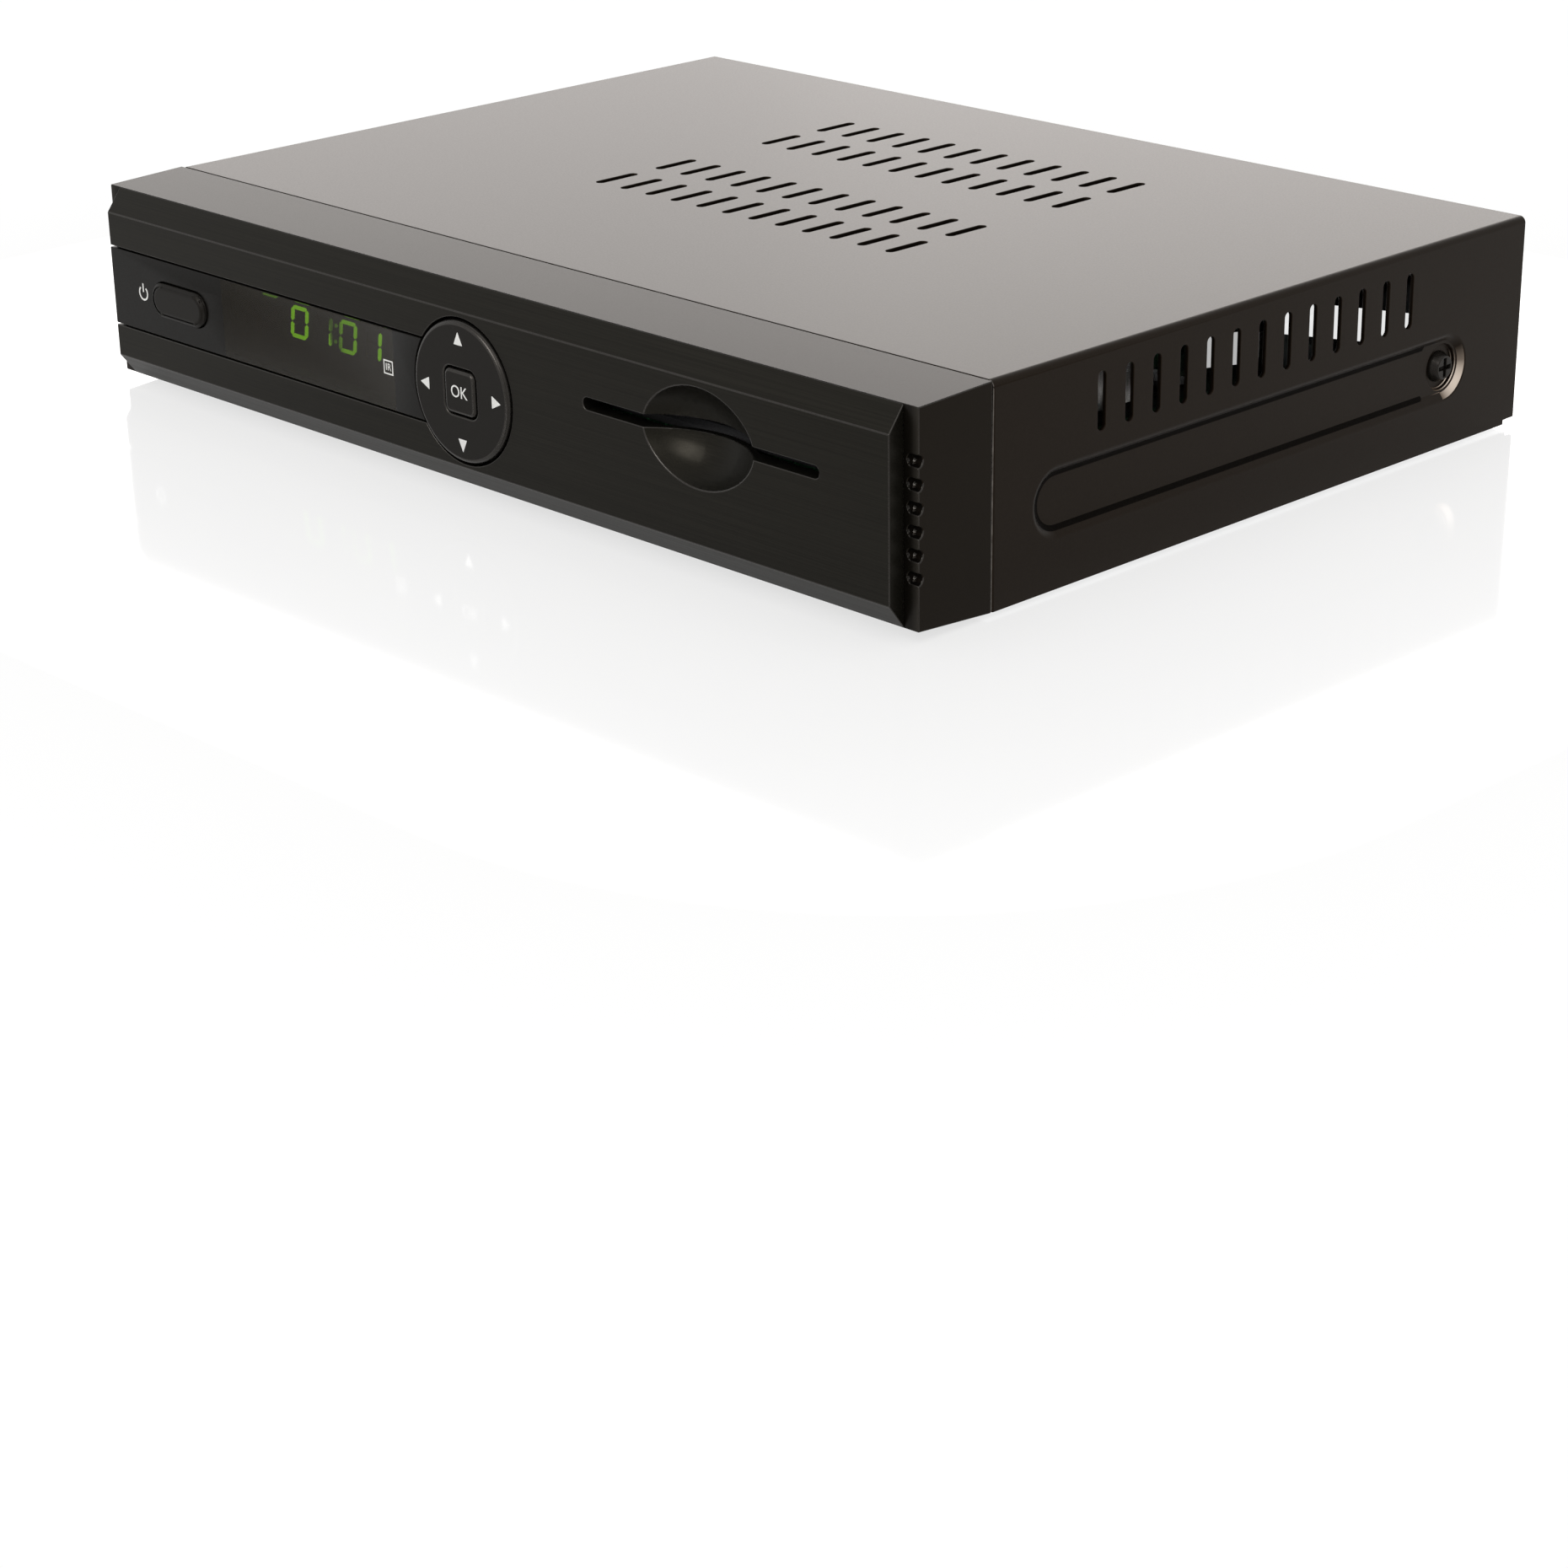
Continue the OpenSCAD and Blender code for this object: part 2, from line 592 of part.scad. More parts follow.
// Face plate: bevelled bar with the band's cut, the ring's hole, the card slot and its thumb dish
module thumb_dish(grow) translate([slot_x, -dish_axis, dish_z]) rotate([0, 90, 0]) rotate_extrude()
    intersection() {
        translate([dish_r - dish_arc, 0]) circle(dish_arc + grow);
        translate([0, -far / 2]) square([far, far]);
    }
module face_plate() in_body() color("#1f1e1d") difference() {
    union() {
        along_x(plate_w) polygon([
            [0, face_low], [strip_y, plate_low], [strip_y, plate_high], [0, face_high]]);
        intersection() {
            thumb_dish(dish_wall);
            block(slot_x - dish_l, slot_x + dish_l, dish_wall, far / 10, plate_low, plate_high);
        }
    }
    thumb_dish(0);
    face_bar(slot_x, -skin, far / 10, slot_z, slot_l, slot_h);
    block(-body_w / 2, nav_x, -skin, strip_y + skin, band_z - band_h / 2, band_z + band_h / 2);
    rod_y(nav_x, -skin, strip_y + skin, band_z, nav_r);
}
module display_window() in_body() color("#101112", 0.8) difference() {
    block(-plate_w / 2, nav_x, 0, strip_y, band_z - band_h / 2 + band_gap, band_z + band_h / 2 - band_gap);
    rod_y(nav_x, -skin, strip_y + skin, band_z, nav_r);
    power_hole(-skin, strip_y + skin, 0);
    display_opening(window_t, strip_y + skin);
}

// Buttons
module power_button() in_body() color("#262422") {
    power_hole(0.5 - button_proud, strip_y + 0.05 + skin, -power_gap);
    translate([power_x, 0.5 - button_proud + skin, band_z]) rotate([90, 0, 0])
        sloped_bar(power_l - 2 * power_gap, power_h - 2 * power_gap, 0.5, 0.5 + skin);
    power_hole(strip_y + 0.05, strip_y + 0.05 + flange_t, 0.6);
    rod_y(power_x, strip_y + flange_t, key_y, band_z, 2);
}
module key_stem(x, z) rod_y(x, key_y, key_front + key_grip, z, key_stem_dia / 2);
module power_key_stem() in_body() color("#3a3a3c") key_stem(power_x, band_z);
module nav_carrier() in_body() color("#3b3936") difference() {
    union() {
        rod_y(nav_x, pivot_y - carrier_t / 2, pivot_y + carrier_t / 2, band_z, carrier_r);
        for (side = [-1, 1]) translate([nav_x, pivot_y, band_z]) rotate([0, 90 - side * 90, 0])
            cylinder(r = pin_r, h = collar_r - 0.9);
    }
    rod_y(nav_x, 0, key_y, band_z, carrier_in_r);
    rod_x(nav_x - carrier_r - 1, nav_x + carrier_r + 1, pivot_y, band_z, pin_r + pin_play);
}
module nav_ring() in_body() color("#232221") {
    ring_r = nav_r - nav_gap;
    difference() {
        translate([nav_x, 0, band_z]) rotate([-90, 0, 0]) rotate_extrude() polygon([
            [0, -nav_proud], [ring_r - 0.5, -nav_proud], [ring_r, 0.5 - nav_proud], [ring_r, ring_back],
            [hub_r, ring_back], [hub_r, hub_back], [hub_in_r, hub_back], [hub_in_r, ring_back],
            [0, ring_back]]);
        along_y(-far / 10, far / 10) translate([nav_x, band_z]) round_square(ok_size, ok_size / 5);
    }
    for (side = [-1, 1]) translate([nav_x + side * (hub_r - 0.3), pivot_y, band_z])
        rotate([0, side * 90, 0]) cylinder(r = pin_r, h = carrier_r - hub_r + 0.1);
}
module ok_button() in_body() color("#262422") {
    along_y(-button_proud, ring_back + 0.6) translate([nav_x, band_z])
        round_square(ok_size - 2 * ok_gap, ok_size / 5 - ok_gap);
    rod_y(nav_x, ring_back + 0.5, ring_back + 0.5 + flange_t, band_z, ok_flange_r);
    rod_y(nav_x, ring_back + flange_t, key_y, band_z, 2.2);
}
module ok_key_stem() in_body() color("#3a3a3c") key_stem(nav_x, band_z);

// Front board and what it carries
nav_keys = [for (turn = [0 : 90 : 270]) [nav_x + nav_key_r * cos(turn), band_z + nav_key_r * sin(turn)]];
module front_board() in_body() color("#1f5a34") difference() {
    block(front_left, front_right, board_y, board_back, front_low, front_high);
    at_bosses() rod_y(0, board_y - skin, board_back + skin, 0, screw_dia / 2 + clear_play);
}
module front_board_screws() in_body() color("#b9bcbf")
    at_bosses() translate([0, board_back, 0]) rotate([-90, 0, 0]) difference() {
        union() {
            cylinder(d1 = head_dia - 0.8, d2 = head_dia - 2.2, h = head_h - 0.3);
            translate([0, 0, -6]) cylinder(r = screw_dia / 2 - 0.4, h = 6 + skin);
        }
        for (turn = [0, 90]) rotate([0, 0, turn]) translate([-1.5, -0.35, 0.6]) cube([3, 0.7, 2]);
    }
module key_switch(x, z) difference() {
    block(x - key_size / 2, x + key_size / 2, key_front, board_y, z - key_size / 2, z + key_size / 2);
    rod_y(x, key_front - skin, key_front + key_grip + button_travel + 0.4, z, key_stem_dia / 2 + 0.15);
}
module key_switches() in_body() color("#222326") {
    key_switch(power_x, band_z);
    key_switch(nav_x, band_z);
    for (place = nav_keys) key_switch(place[0], place[1]);
}
module nav_key_stems() in_body() color("#3a3a3c") for (place = nav_keys) key_stem(place[0], place[1]);
module display_module() in_body() color("#17181a")
    block(display_x - module_w / 2, display_x + module_w / 2, module_front, board_y,
        band_z - module_h / 2, band_z + module_h / 2);

// Seven segments of a digit: top, upper right, lower right, bottom, lower left, upper left, middle
shapes = [for (digit = [[1, 1, 1, 1, 1, 1, 0], [0, 1, 1, 0, 0, 0, 0]]) digit];
shown = [0, 1, 0, 1];
module segment(length) {
    w = segment_w / 2;
    l = length / 2 - 0.12;
    polygon([[-l, 0], [w - l, w], [l - w, w], [l, 0], [l - w, -w], [w - l, -w]]);
}
module digit_segment(i) {
    across = digit_w - segment_w;
    up = (digit_h - segment_w) / 2;
    places = [[0, up, 0], [across / 2, up / 2, 90], [across / 2, -up / 2, 90], [0, -up, 0],
        [-across / 2, -up / 2, 90], [-across / 2, up / 2, 90], [0, 0, 0]];
    lean = tan(digit_lean);
    length = places[i][2] == 0 ? across : up;
    multmatrix([[1, lean, 0, 0], [0, 1, 0, 0], [0, 0, 1, 0], [0, 0, 0, 1]])
        translate([places[i][0], places[i][1]]) rotate(places[i][2]) segment(length);
}
module segments(lit) along_y(module_front - segment_t, module_front) for (d = [0 : 3]) for (i = [0 : 6])
    if ((shapes[shown[d]][i] == 1) == lit)
        translate([display_x + (d - 1.5) * digit_pitch, band_z - digit_drop]) digit_segment(i);
module lit_segments() in_body() color("#8fe01c") {
    segments(true);
    for (side = [-1, 1]) rod_y(display_x + side * digit_h / 4 * tan(digit_lean),
        module_front - segment_t, module_front, band_z - digit_drop + side * digit_h / 4, segment_w / 2);
}
module dark_segments() in_body() color("#33372f") segments(false);
module receiver_eye() in_body() color("#1a1416") {
    block(eye_x - 3, eye_x + 3, board_y - 4, board_y, eye_z - 3.5, eye_z + 3.5);
    translate([eye_x, board_y - 4, eye_z + 0.6]) sphere(r = 2.4);
}
module standby_lamp() in_body() color("#7cc41e")
    block(lamp_x - lamp_w / 2, lamp_x + lamp_w / 2, module_front, board_y,
        lamp_z - lamp_h / 2, lamp_z + lamp_h / 2);

// Main board and what it carries
module at_standoffs() for (sx = [-1, 0, 1]) for (y = [standoff_front_y, standoff_rear_y])
    translate([sx * standoff_x, y, 0]) children();
module at_card_posts() for (sx = [-1, 1]) for (y = [main_front + 4, card_board_y + card_board_l - 4])
    translate([slot_x + sx * (card_board_w / 2 - 3.5), y, 0]) children();
module main_board() in_body() color("#1f6b3a") difference() {
    block(-main_half, main_half, main_front, main_rear, main_low, main_top);
    at_standoffs() rod_z(0, 0, main_low - skin, main_top + skin, screw_dia / 2 + clear_play);
}
module standoffs() in_body() color("#c3b274") at_standoffs() difference() {
    rod_z(0, 0, base_top, main_low, standoff_dia / 2);
    rod_z(0, 0, base_top + 1, main_low + skin, screw_dia / 2 + thread_play);
}
module board_screws() in_body() color("#b9bcbf")
    at_standoffs() translate([0, 0, main_top]) pan_screw(board_t + 3.5);

board_mid_y = (main_front + main_rear) / 2;
board_half_l = (main_rear - main_front) / 2;
chip_size = 25;
chip_h = 1.6;
dot_r = 0.8;
sink_size = 30;
sink_base = 2;
fin_count = 8;
fin_t = 1.2;
fin_h = 9;
thin_chip_h = 1.2;
memory_w = 9;
memory_l = 13;
flash_w = 12;
flash_l = 18;
crystal_dia = 4.6;
crystal_l = 5;
crystal_h = 3.6;
capacitor_dia = 8;
capacitor_h = 11;
capacitor_rim = 0.5;
inductor_w = 10;
inductor_dia = 9;
inductor_h = 6;
can_wall = 0.5;
can_hole_dia = 3;
demodulator_w = 26;
demodulator_l = 30;
demodulator_h = 9;
module on_board(across, along)
    translate([across * main_half, board_mid_y + along * board_half_l, main_top]) children();
module brick(w, l, h) translate([-w / 2, -l / 2, 0]) cube([w, l, h]);
module main_chip() in_body() color("#1c1d1f") on_board(0, 0) difference() {
    brick(chip_size, chip_size, chip_h);
    translate([3 - chip_size / 2, 3 - chip_size / 2, chip_h - 0.2]) cylinder(r = dot_r, h = chip_h);
}
module heat_sink() in_body() color("#a9adb0") on_board(0, 0) translate([0, 0, chip_h]) {
    fin_pitch = (sink_size - fin_t) / (fin_count - 1);
    brick(sink_size, sink_size, sink_base);
    for (i = [0 : fin_count - 1]) translate([i * fin_pitch - sink_size / 2, -sink_size / 2, sink_base - skin])
        cube([fin_t, sink_size, fin_h]);
}
module memory_chips() in_body() color("#1c1d1f")
    for (along = [-0.12, 0.12]) on_board(0.3, along) brick(memory_w, memory_l, thin_chip_h);
module flash_chip() in_body() color("#1c1d1f") on_board(-0.3, -0.09) brick(flash_w, flash_l, thin_chip_h);
module crystal() in_body() color("#c9cccf") on_board(-0.24, 0.24) {
    for (side = [-1, 1]) translate([side * crystal_l / 2, 0, 0]) cylinder(d = crystal_dia, h = crystal_h);
    brick(crystal_l, crystal_dia, crystal_h);
}
module capacitors() in_body() color("#2d3240") for (row = [0, 1]) for (i = [0 : 3])
    on_board(-0.84 + 0.14 * row, 0.15 * i - 0.05 * row) {
        cylinder(d = capacitor_dia, h = capacitor_h);
        translate([0, 0, capacitor_h - skin])
            cylinder(d1 = capacitor_dia * 0.95, d2 = capacitor_dia * 0.8, h = capacitor_rim + skin);
    }
module inductors() in_body() color("#4b4d52") for (i = [0 : 2]) on_board(-0.54, 0.06 + 0.2 * i) {
    brick(inductor_w, inductor_w, thin_chip_h);
    cylinder(d = inductor_dia, h = inductor_h);
}
module tin_can(w, l, h) difference() {
    brick(w, l, h);
    translate([0, 0, -skin]) brick(w - 2 * can_wall, l - 2 * can_wall, h - can_wall + skin);
    for (sx = [-1, 1]) for (sy = [-1, 1]) translate([sx * w / 4, sy * l / 4, h - 2 * can_wall])
        cylinder(d = can_hole_dia, h = 4 * can_wall);
}
tuner_y = main_rear - tuner_l / 2 + 1.4;
module tuner_can() in_body() color("#c7cacb") difference() {
    translate([tuner_x, tuner_y, main_top]) tin_can(tuner_w, tuner_l, tuner_h);
    for (x = [aerial_in_x, aerial_out_x]) rod_y(x, tuner_y, rear_in, aerial_z, 2.6);
}
demodulator_y = (card_board_y + card_board_l + tuner_y - tuner_l / 2) / 2;
module demodulator_can() in_body() color("#c7cacb") translate([tuner_x + 4, demodulator_y, main_top])
    tin_can(demodulator_w, demodulator_l, demodulator_h);

// Aerial sockets
aerial_front = tuner_y + tuner_l / 2;
aerial_back = rear_out + aerial_reach;
module aerial_tube(x, r_in) difference() {
    rod_y(x, aerial_front, aerial_back, aerial_z, r_in + aerial_wall);
    rod_y(x, aerial_front - skin, aerial_back + skin, aerial_z, r_in);
}
module aerial_bush(x, r) difference() {
    rod_y(x, aerial_front, aerial_front + 3, aerial_z, r);
    rod_y(x, aerial_front - skin, aerial_front + 3 + skin, aerial_z, contact_r);
}
module aerial_input() in_body() color("#c9c5b8") aerial_tube(aerial_in_x, aerial_in_dia / 2);
module aerial_output() in_body() color("#c9c5b8") aerial_tube(aerial_out_x, aerial_out_dia / 2 - aerial_wall);
module aerial_insulators() in_body() color("#e8e6df") {
    aerial_bush(aerial_in_x, aerial_in_dia / 2);
    aerial_bush(aerial_out_x, aerial_out_dia / 2 - aerial_wall);
}
module aerial_contacts() in_body() color("#d2b25a") {
    rod_y(aerial_out_x, aerial_front - 3, aerial_back - 1, aerial_z, contact_r);
    difference() {
        union() {
            rod_y(aerial_in_x, aerial_front - 3, aerial_front + 4, aerial_z, contact_r);
            rod_y(aerial_in_x, aerial_front + 3.2, aerial_back - 1.5, aerial_z, contact_r + 0.8);
        }
        rod_y(aerial_in_x, aerial_front + 4.5, aerial_back, aerial_z, contact_r + 0.1);
    }
}

// Sockets on the board's rear edge
module shell_socket(x, w, h, l, wall) difference() {
    block(x - w / 2, x + w / 2, socket_back - l, socket_back, main_top, main_top + h);
    block(x - w / 2 + wall, x + w / 2 - wall, socket_back - l + 2, socket_back + skin,
        main_top + wall, main_top + h - wall);
}
module socket_tongue(x, w, l, z, t)
    block(x - w / 2, x + w / 2, socket_back - l + 2, socket_back - 1.5,
        main_top + z - t / 2, main_top + z + t / 2);
module video_socket() in_body() color("#c2c5c7") shell_socket(video_x, video_w, video_h, video_l, video_wall);
module video_tongue() in_body() color("#1b1b1d")
    socket_tongue(video_x, video_w - 3.2, video_l, video_h / 2, 1.6);
module data_socket() in_body() color("#c2c5c7") shell_socket(data_x, data_w, data_h, data_l, data_wall);
module data_tongue() in_body() color("#e6e4de")
    socket_tongue(data_x, data_w - 3, data_l, data_h / 2 + 1.5, 1.9);
network_mouth_z = main_top + 2.6;
network_mouth_l = 13;
module network_socket() in_body() color("#26272a") difference() {
    block(network_x - network_w / 2, network_x + network_w / 2, socket_back - network_l, socket_back,
        main_top, main_top + network_h);
    block(network_x - network_mouth_w / 2, network_x + network_mouth_w / 2, socket_back - network_mouth_l,
        socket_back + skin, network_mouth_z, network_mouth_z + network_mouth_h);
    block(network_x - 3, network_x + 3, socket_back - network_mouth_l, socket_back + skin,
        network_mouth_z + network_mouth_h - skin, network_mouth_z + network_mouth_h + 1.8);
}
module network_contacts() in_body() color("#d2b25a") for (i = [0 : 7])
    translate([network_x + (i - 3.5) * 1.02 - 0.2, socket_back - network_mouth_l, network_mouth_z])
        cube([0.4, 9, 0.4]);
module jack_block() in_body() color("#26272a") difference() {
    translate([jacks_x, rear_in - jack_block_l / 2, main_top]) brick(jacks_w, jack_block_l, jack_block_h);
    for (i = [0 : jack_count - 1]) rod_y(jack_place(i), rear_in - 6, rear_in + skin, jack_z, jack_dia / 2);
}
module jack_barrels() in_body() color("#c9c5b8") for (i = [0 : jack_count - 1]) difference() {
    rod_y(jack_place(i), rear_in - 6, rear_out + jack_reach, jack_z, jack_dia / 2);
    rod_y(jack_place(i), rear_in - 4, rear_out + jack_reach + skin, jack_z, jack_dia / 2 - 0.6);
}
module jack_insert(i) difference() {
    rod_y(jack_place(i), rear_in - 4, rear_out + jack_reach - 1, jack_z, jack_dia / 2 - 0.6);
    rod_y(jack_place(i), rear_in - 3, rear_out + jack_reach, jack_z, 1.7);
}
module digital_insert() in_body() color("#d97a1f") jack_insert(0);
module picture_insert() in_body() color("#e3c21c") jack_insert(1);
module left_insert() in_body() color("#e9e7e2") jack_insert(2);
module right_insert() in_body() color("#b5231f") jack_insert(3);
inlet_z = main_top + inlet_h / 2 + 0.6;
module power_inlet() in_body() color("#1d1d1f") difference() {
    translate([inlet_x, socket_back - inlet_l / 2, main_top]) brick(inlet_w, inlet_l, inlet_h);
    rod_y(inlet_x, socket_back - 10, socket_back + skin, inlet_z, inlet_bore / 2);
}
module inlet_pin() in_body() color("#c2c5c7") {
    rod_y(inlet_x, socket_back - 10, socket_back - 1.5, inlet_z, 1);
    translate([inlet_x, socket_back - 1.5, inlet_z]) sphere(r = 1);
}

// Card reader on its raised board
module card_board() in_body() color("#1f6b3a") difference() {
    block(slot_x - card_board_w / 2, slot_x + card_board_w / 2, card_board_y, card_board_y + card_board_l,
        card_board_low, reader_low);
    at_card_posts() rod_z(0, 0, card_board_low - skin, reader_low + skin, card_post_tip / 2 + 0.1);
}
contact_l = 7.8;
contact_pitch = 2.54;
contact_row_pitch = 11;
contact_from_middle = 12;
contact_from_mouth = 16;
module at_card_contacts() for (row = [0, 1]) for (i = [0 : 3])
    translate([slot_x - contact_from_middle + i * contact_pitch,
            reader_y + contact_from_mouth + row * contact_row_pitch, slot_z - card_h / 2]) children();
module card_reader() in_body() color("#2a2b2e") difference() {
    block(slot_x - reader_w / 2, slot_x + reader_w / 2, reader_y, reader_y + reader_l,
        reader_low, reader_high);
    block(slot_x - card_w / 2, slot_x + card_w / 2, reader_y - skin, reader_y + reader_l - 2,
        slot_z - card_h / 2, slot_z + card_h / 2);
    block(slot_x - card_w / 2 + 8, slot_x + card_w / 2 - 8, reader_y + 12, reader_y + reader_l - 8,
        slot_z, reader_high + skin);
    translate([slot_x, reader_y - skin, slot_z]) along_x(card_w)
        polygon([[0, -1.4], [0, 1.4], [1.6, 0.3], [1.6, -0.3]]);
    at_card_contacts() translate([-0.9, -0.1, -0.5]) cube([1.8, contact_l + 0.2, 0.5 + skin]);
}
module card_contacts() in_body() color("#d2b25a")
    at_card_contacts() translate([-0.8, 0, -0.5]) cube([1.6, contact_l, 0.45]);
module card_posts() in_body() color("#e9e7e0") at_card_posts() {
    rod_z(0, 0, main_top, card_board_low, card_post_dia / 2);
    rod_z(0, 0, card_board_low - skin, reader_low + 1.2, card_post_tip / 2);
}

// Ribbon between the boards: a flat cable with a low hump of slack
front_header_back = board_back + 4;
main_header_front = main_front + 5;
cable_t = 0.3;
cable_slack = 3;
cable_steps = 16;
cable_span = main_header_front - front_header_back;
function hump(i) = cable_z + cable_slack * pow(sin(180 * i / cable_steps), 2);
function cable_y(i) = front_header_back + cable_span * i / cable_steps;
module ribbon_headers() in_body() color("#e9e7e0") {
    block(cable_x - cable_w / 2 - 2, cable_x + cable_w / 2 + 2, board_back, front_header_back,
        cable_z - 2, cable_z + 2);
    block(cable_x - cable_w / 2 - 2, cable_x + cable_w / 2 + 2, main_header_front, main_header_front + 5,
        main_top, cable_z + 2);
}
module ribbon_cable() in_body() color("#d9d8d2") translate([cable_x, 0, 0]) along_x(cable_w) polygon(concat(
    [for (i = [0 : cable_steps]) [cable_y(i), hump(i) + cable_t / 2]],
    [for (i = [cable_steps : -1 : 0]) [cable_y(i), hump(i) - cable_t / 2]]));

top_cover();
chassis();
rubber_feet();
side_screws();
rear_screws();
front_screws();
front_frame();
face_plate();
display_window();
power_button();
power_key_stem();
nav_carrier();
nav_ring();
ok_button();
ok_key_stem();
front_board();
front_board_screws();
key_switches();
nav_key_stems();
display_module();
lit_segments();
dark_segments();
receiver_eye();
standby_lamp();
main_board();
standoffs();
board_screws();
main_chip();
heat_sink();
memory_chips();
flash_chip();
crystal();
capacitors();
inductors();
tuner_can();
demodulator_can();
aerial_input();
aerial_output();
aerial_insulators();
aerial_contacts();
video_socket();
video_tongue();
network_socket();
network_contacts();
data_socket();
data_tongue();
jack_block();
jack_barrels();
digital_insert();
picture_insert();
left_insert();
right_insert();
power_inlet();
inlet_pin();
card_board();
card_reader();
card_contacts();
card_posts();
ribbon_headers();
ribbon_cable();
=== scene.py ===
# %% [markdown]
# # Dressing a set-top receiver
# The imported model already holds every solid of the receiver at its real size: the steel cover, the
# moulded front, the buttons and all that sits inside. This lesson gives each surface its finish, rounds
# the edges that catch the light, prints the few white marks, and sets up a plain studio picture.
# One Blender unit is a metre, and the face looks along -Y.

# %% Load the model
import bpy
import json
import math
from mathutils import Euler, Matrix, Vector


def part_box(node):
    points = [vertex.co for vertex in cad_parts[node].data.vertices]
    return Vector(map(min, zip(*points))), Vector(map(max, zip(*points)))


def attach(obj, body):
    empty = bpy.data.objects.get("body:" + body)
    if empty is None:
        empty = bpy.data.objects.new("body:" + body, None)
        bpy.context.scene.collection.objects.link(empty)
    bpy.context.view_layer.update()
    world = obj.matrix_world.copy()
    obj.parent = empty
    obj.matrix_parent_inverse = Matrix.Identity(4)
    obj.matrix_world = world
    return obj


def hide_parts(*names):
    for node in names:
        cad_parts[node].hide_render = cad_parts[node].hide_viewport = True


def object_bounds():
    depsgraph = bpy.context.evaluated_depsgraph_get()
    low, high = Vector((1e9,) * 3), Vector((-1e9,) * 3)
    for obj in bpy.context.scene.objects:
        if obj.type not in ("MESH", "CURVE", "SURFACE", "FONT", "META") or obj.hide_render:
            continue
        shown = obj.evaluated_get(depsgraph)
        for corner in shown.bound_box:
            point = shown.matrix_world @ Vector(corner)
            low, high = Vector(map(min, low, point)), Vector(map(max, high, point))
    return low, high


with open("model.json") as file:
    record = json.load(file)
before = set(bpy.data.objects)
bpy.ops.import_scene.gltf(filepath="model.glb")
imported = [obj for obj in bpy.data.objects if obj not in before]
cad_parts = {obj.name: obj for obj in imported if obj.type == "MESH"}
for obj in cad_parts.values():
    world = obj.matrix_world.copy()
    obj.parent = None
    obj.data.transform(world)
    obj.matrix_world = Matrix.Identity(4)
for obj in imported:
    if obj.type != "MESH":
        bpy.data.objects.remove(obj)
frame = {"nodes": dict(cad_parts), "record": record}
cad_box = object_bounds()
MM = 0.001
NODES = frame["nodes"]
SLOT_OF = {part["node"]: part["material_slot"] for part in frame["record"]["subparts"]}
BODY_OF = {node: body for body, nodes in frame["record"]["behaviour"]["bodies"].items() for node in nodes}
print("nodes loaded:", len(NODES), "finishes to make:", len(set(SLOT_OF.values())))

# %% [markdown]
# ## Tools for building a finish
# Every finish is a Principled shader whose colour, roughness and bump come from noise on Object
# coordinates, so that a grain has its real size on every piece. A noise scale counts features per metre,
# and `per(0.3)` asks for grains 0.3 mm across. Values that are the same all over the surface are typed
# straight into the shader's own sockets.

# %% Start a finish
def per(size_mm):
    """Noise scale for features of this size."""
    return 1 / (size_mm * MM)


def start_finish(name, rough, specular=0.5, metal=0.0):
    """A new material with its constant values set on the shader."""
    material = bpy.data.materials.new(name)
    material.use_nodes = True
    shader = material.node_tree.nodes["Principled BSDF"]
    shader.inputs["Roughness"].default_value = rough
    shader.inputs["Specular IOR Level"].default_value = specular
    shader.inputs["Metallic"].default_value = metal
    return material, material.node_tree, shader


def noise(tree, size_mm, stretch=(1, 1, 1), detail=2.0):
    """Noise on Object coordinates; stretch makes the grain longer along an axis."""
    place = tree.nodes.new("ShaderNodeTexCoord")
    mapping = tree.nodes.new("ShaderNodeMapping")
    mapping.inputs["Scale"].default_value = [1 / s for s in stretch]
    texture = tree.nodes.new("ShaderNodeTexNoise")
    texture.inputs["Scale"].default_value = per(size_mm)
    texture.inputs["Detail"].default_value = detail
    tree.links.new(place.outputs["Object"], mapping.inputs["Vector"])
    tree.links.new(mapping.outputs["Vector"], texture.inputs["Vector"])
    return texture.outputs["Fac"]


print("noise scale for grains of 0.3 mm:", round(per(0.3)))

# %% [markdown]
# Noise stays near its middle value, so only its middle range is used and is stretched over the whole run
# of a colour or a roughness. One noise drives colour, roughness and relief together, because on a real
# grain the high spots are also the ones that are rubbed and catch light.

# %% Colour, roughness and relief from one noise
NOISE_RANGE = (0.3, 0.7)
TINT_RANGE = (0.35, 0.65)


def spread(tree, fac, low, high):
    """Turn noise, which stays near its middle, into values from low to high."""
    node = tree.nodes.new("ShaderNodeMapRange")
    node.inputs["From Min"].default_value = NOISE_RANGE[0]
    node.inputs["From Max"].default_value = NOISE_RANGE[1]
    node.inputs["To Min"].default_value = low
    node.inputs["To Max"].default_value = high
    tree.links.new(fac, node.inputs["Value"])
    return node.outputs["Result"]


def tint(tree, shader, fac, dark, light):
    """Base colour that runs from dark to light with the noise."""
    ramp = tree.nodes.new("ShaderNodeValToRGB")
    for point, at, colour in zip(ramp.color_ramp.elements, TINT_RANGE, (dark, light)):
        point.position = at
        point.color = (*colour, 1)
    tree.links.new(fac, ramp.inputs["Fac"])
    tree.links.new(ramp.outputs["Color"], shader.inputs["Base Color"])


def bump(tree, shader, fac, depth_mm):
    """Relief of this depth from the noise."""
    node = tree.nodes.new("ShaderNodeBump")
    node.inputs["Distance"].default_value = depth_mm * MM
    node.inputs["Strength"].default_value = 1.0
    tree.links.new(fac, node.inputs["Height"])
    tree.links.new(node.outputs["Normal"], shader.inputs["Normal"])


def vary_roughness(tree, shader, fac, low, high):
    """Roughness that runs from low to high with the noise."""
    tree.links.new(spread(tree, fac, low, high), shader.inputs["Roughness"])


print("middle range of the noise in use:", NOISE_RANGE)

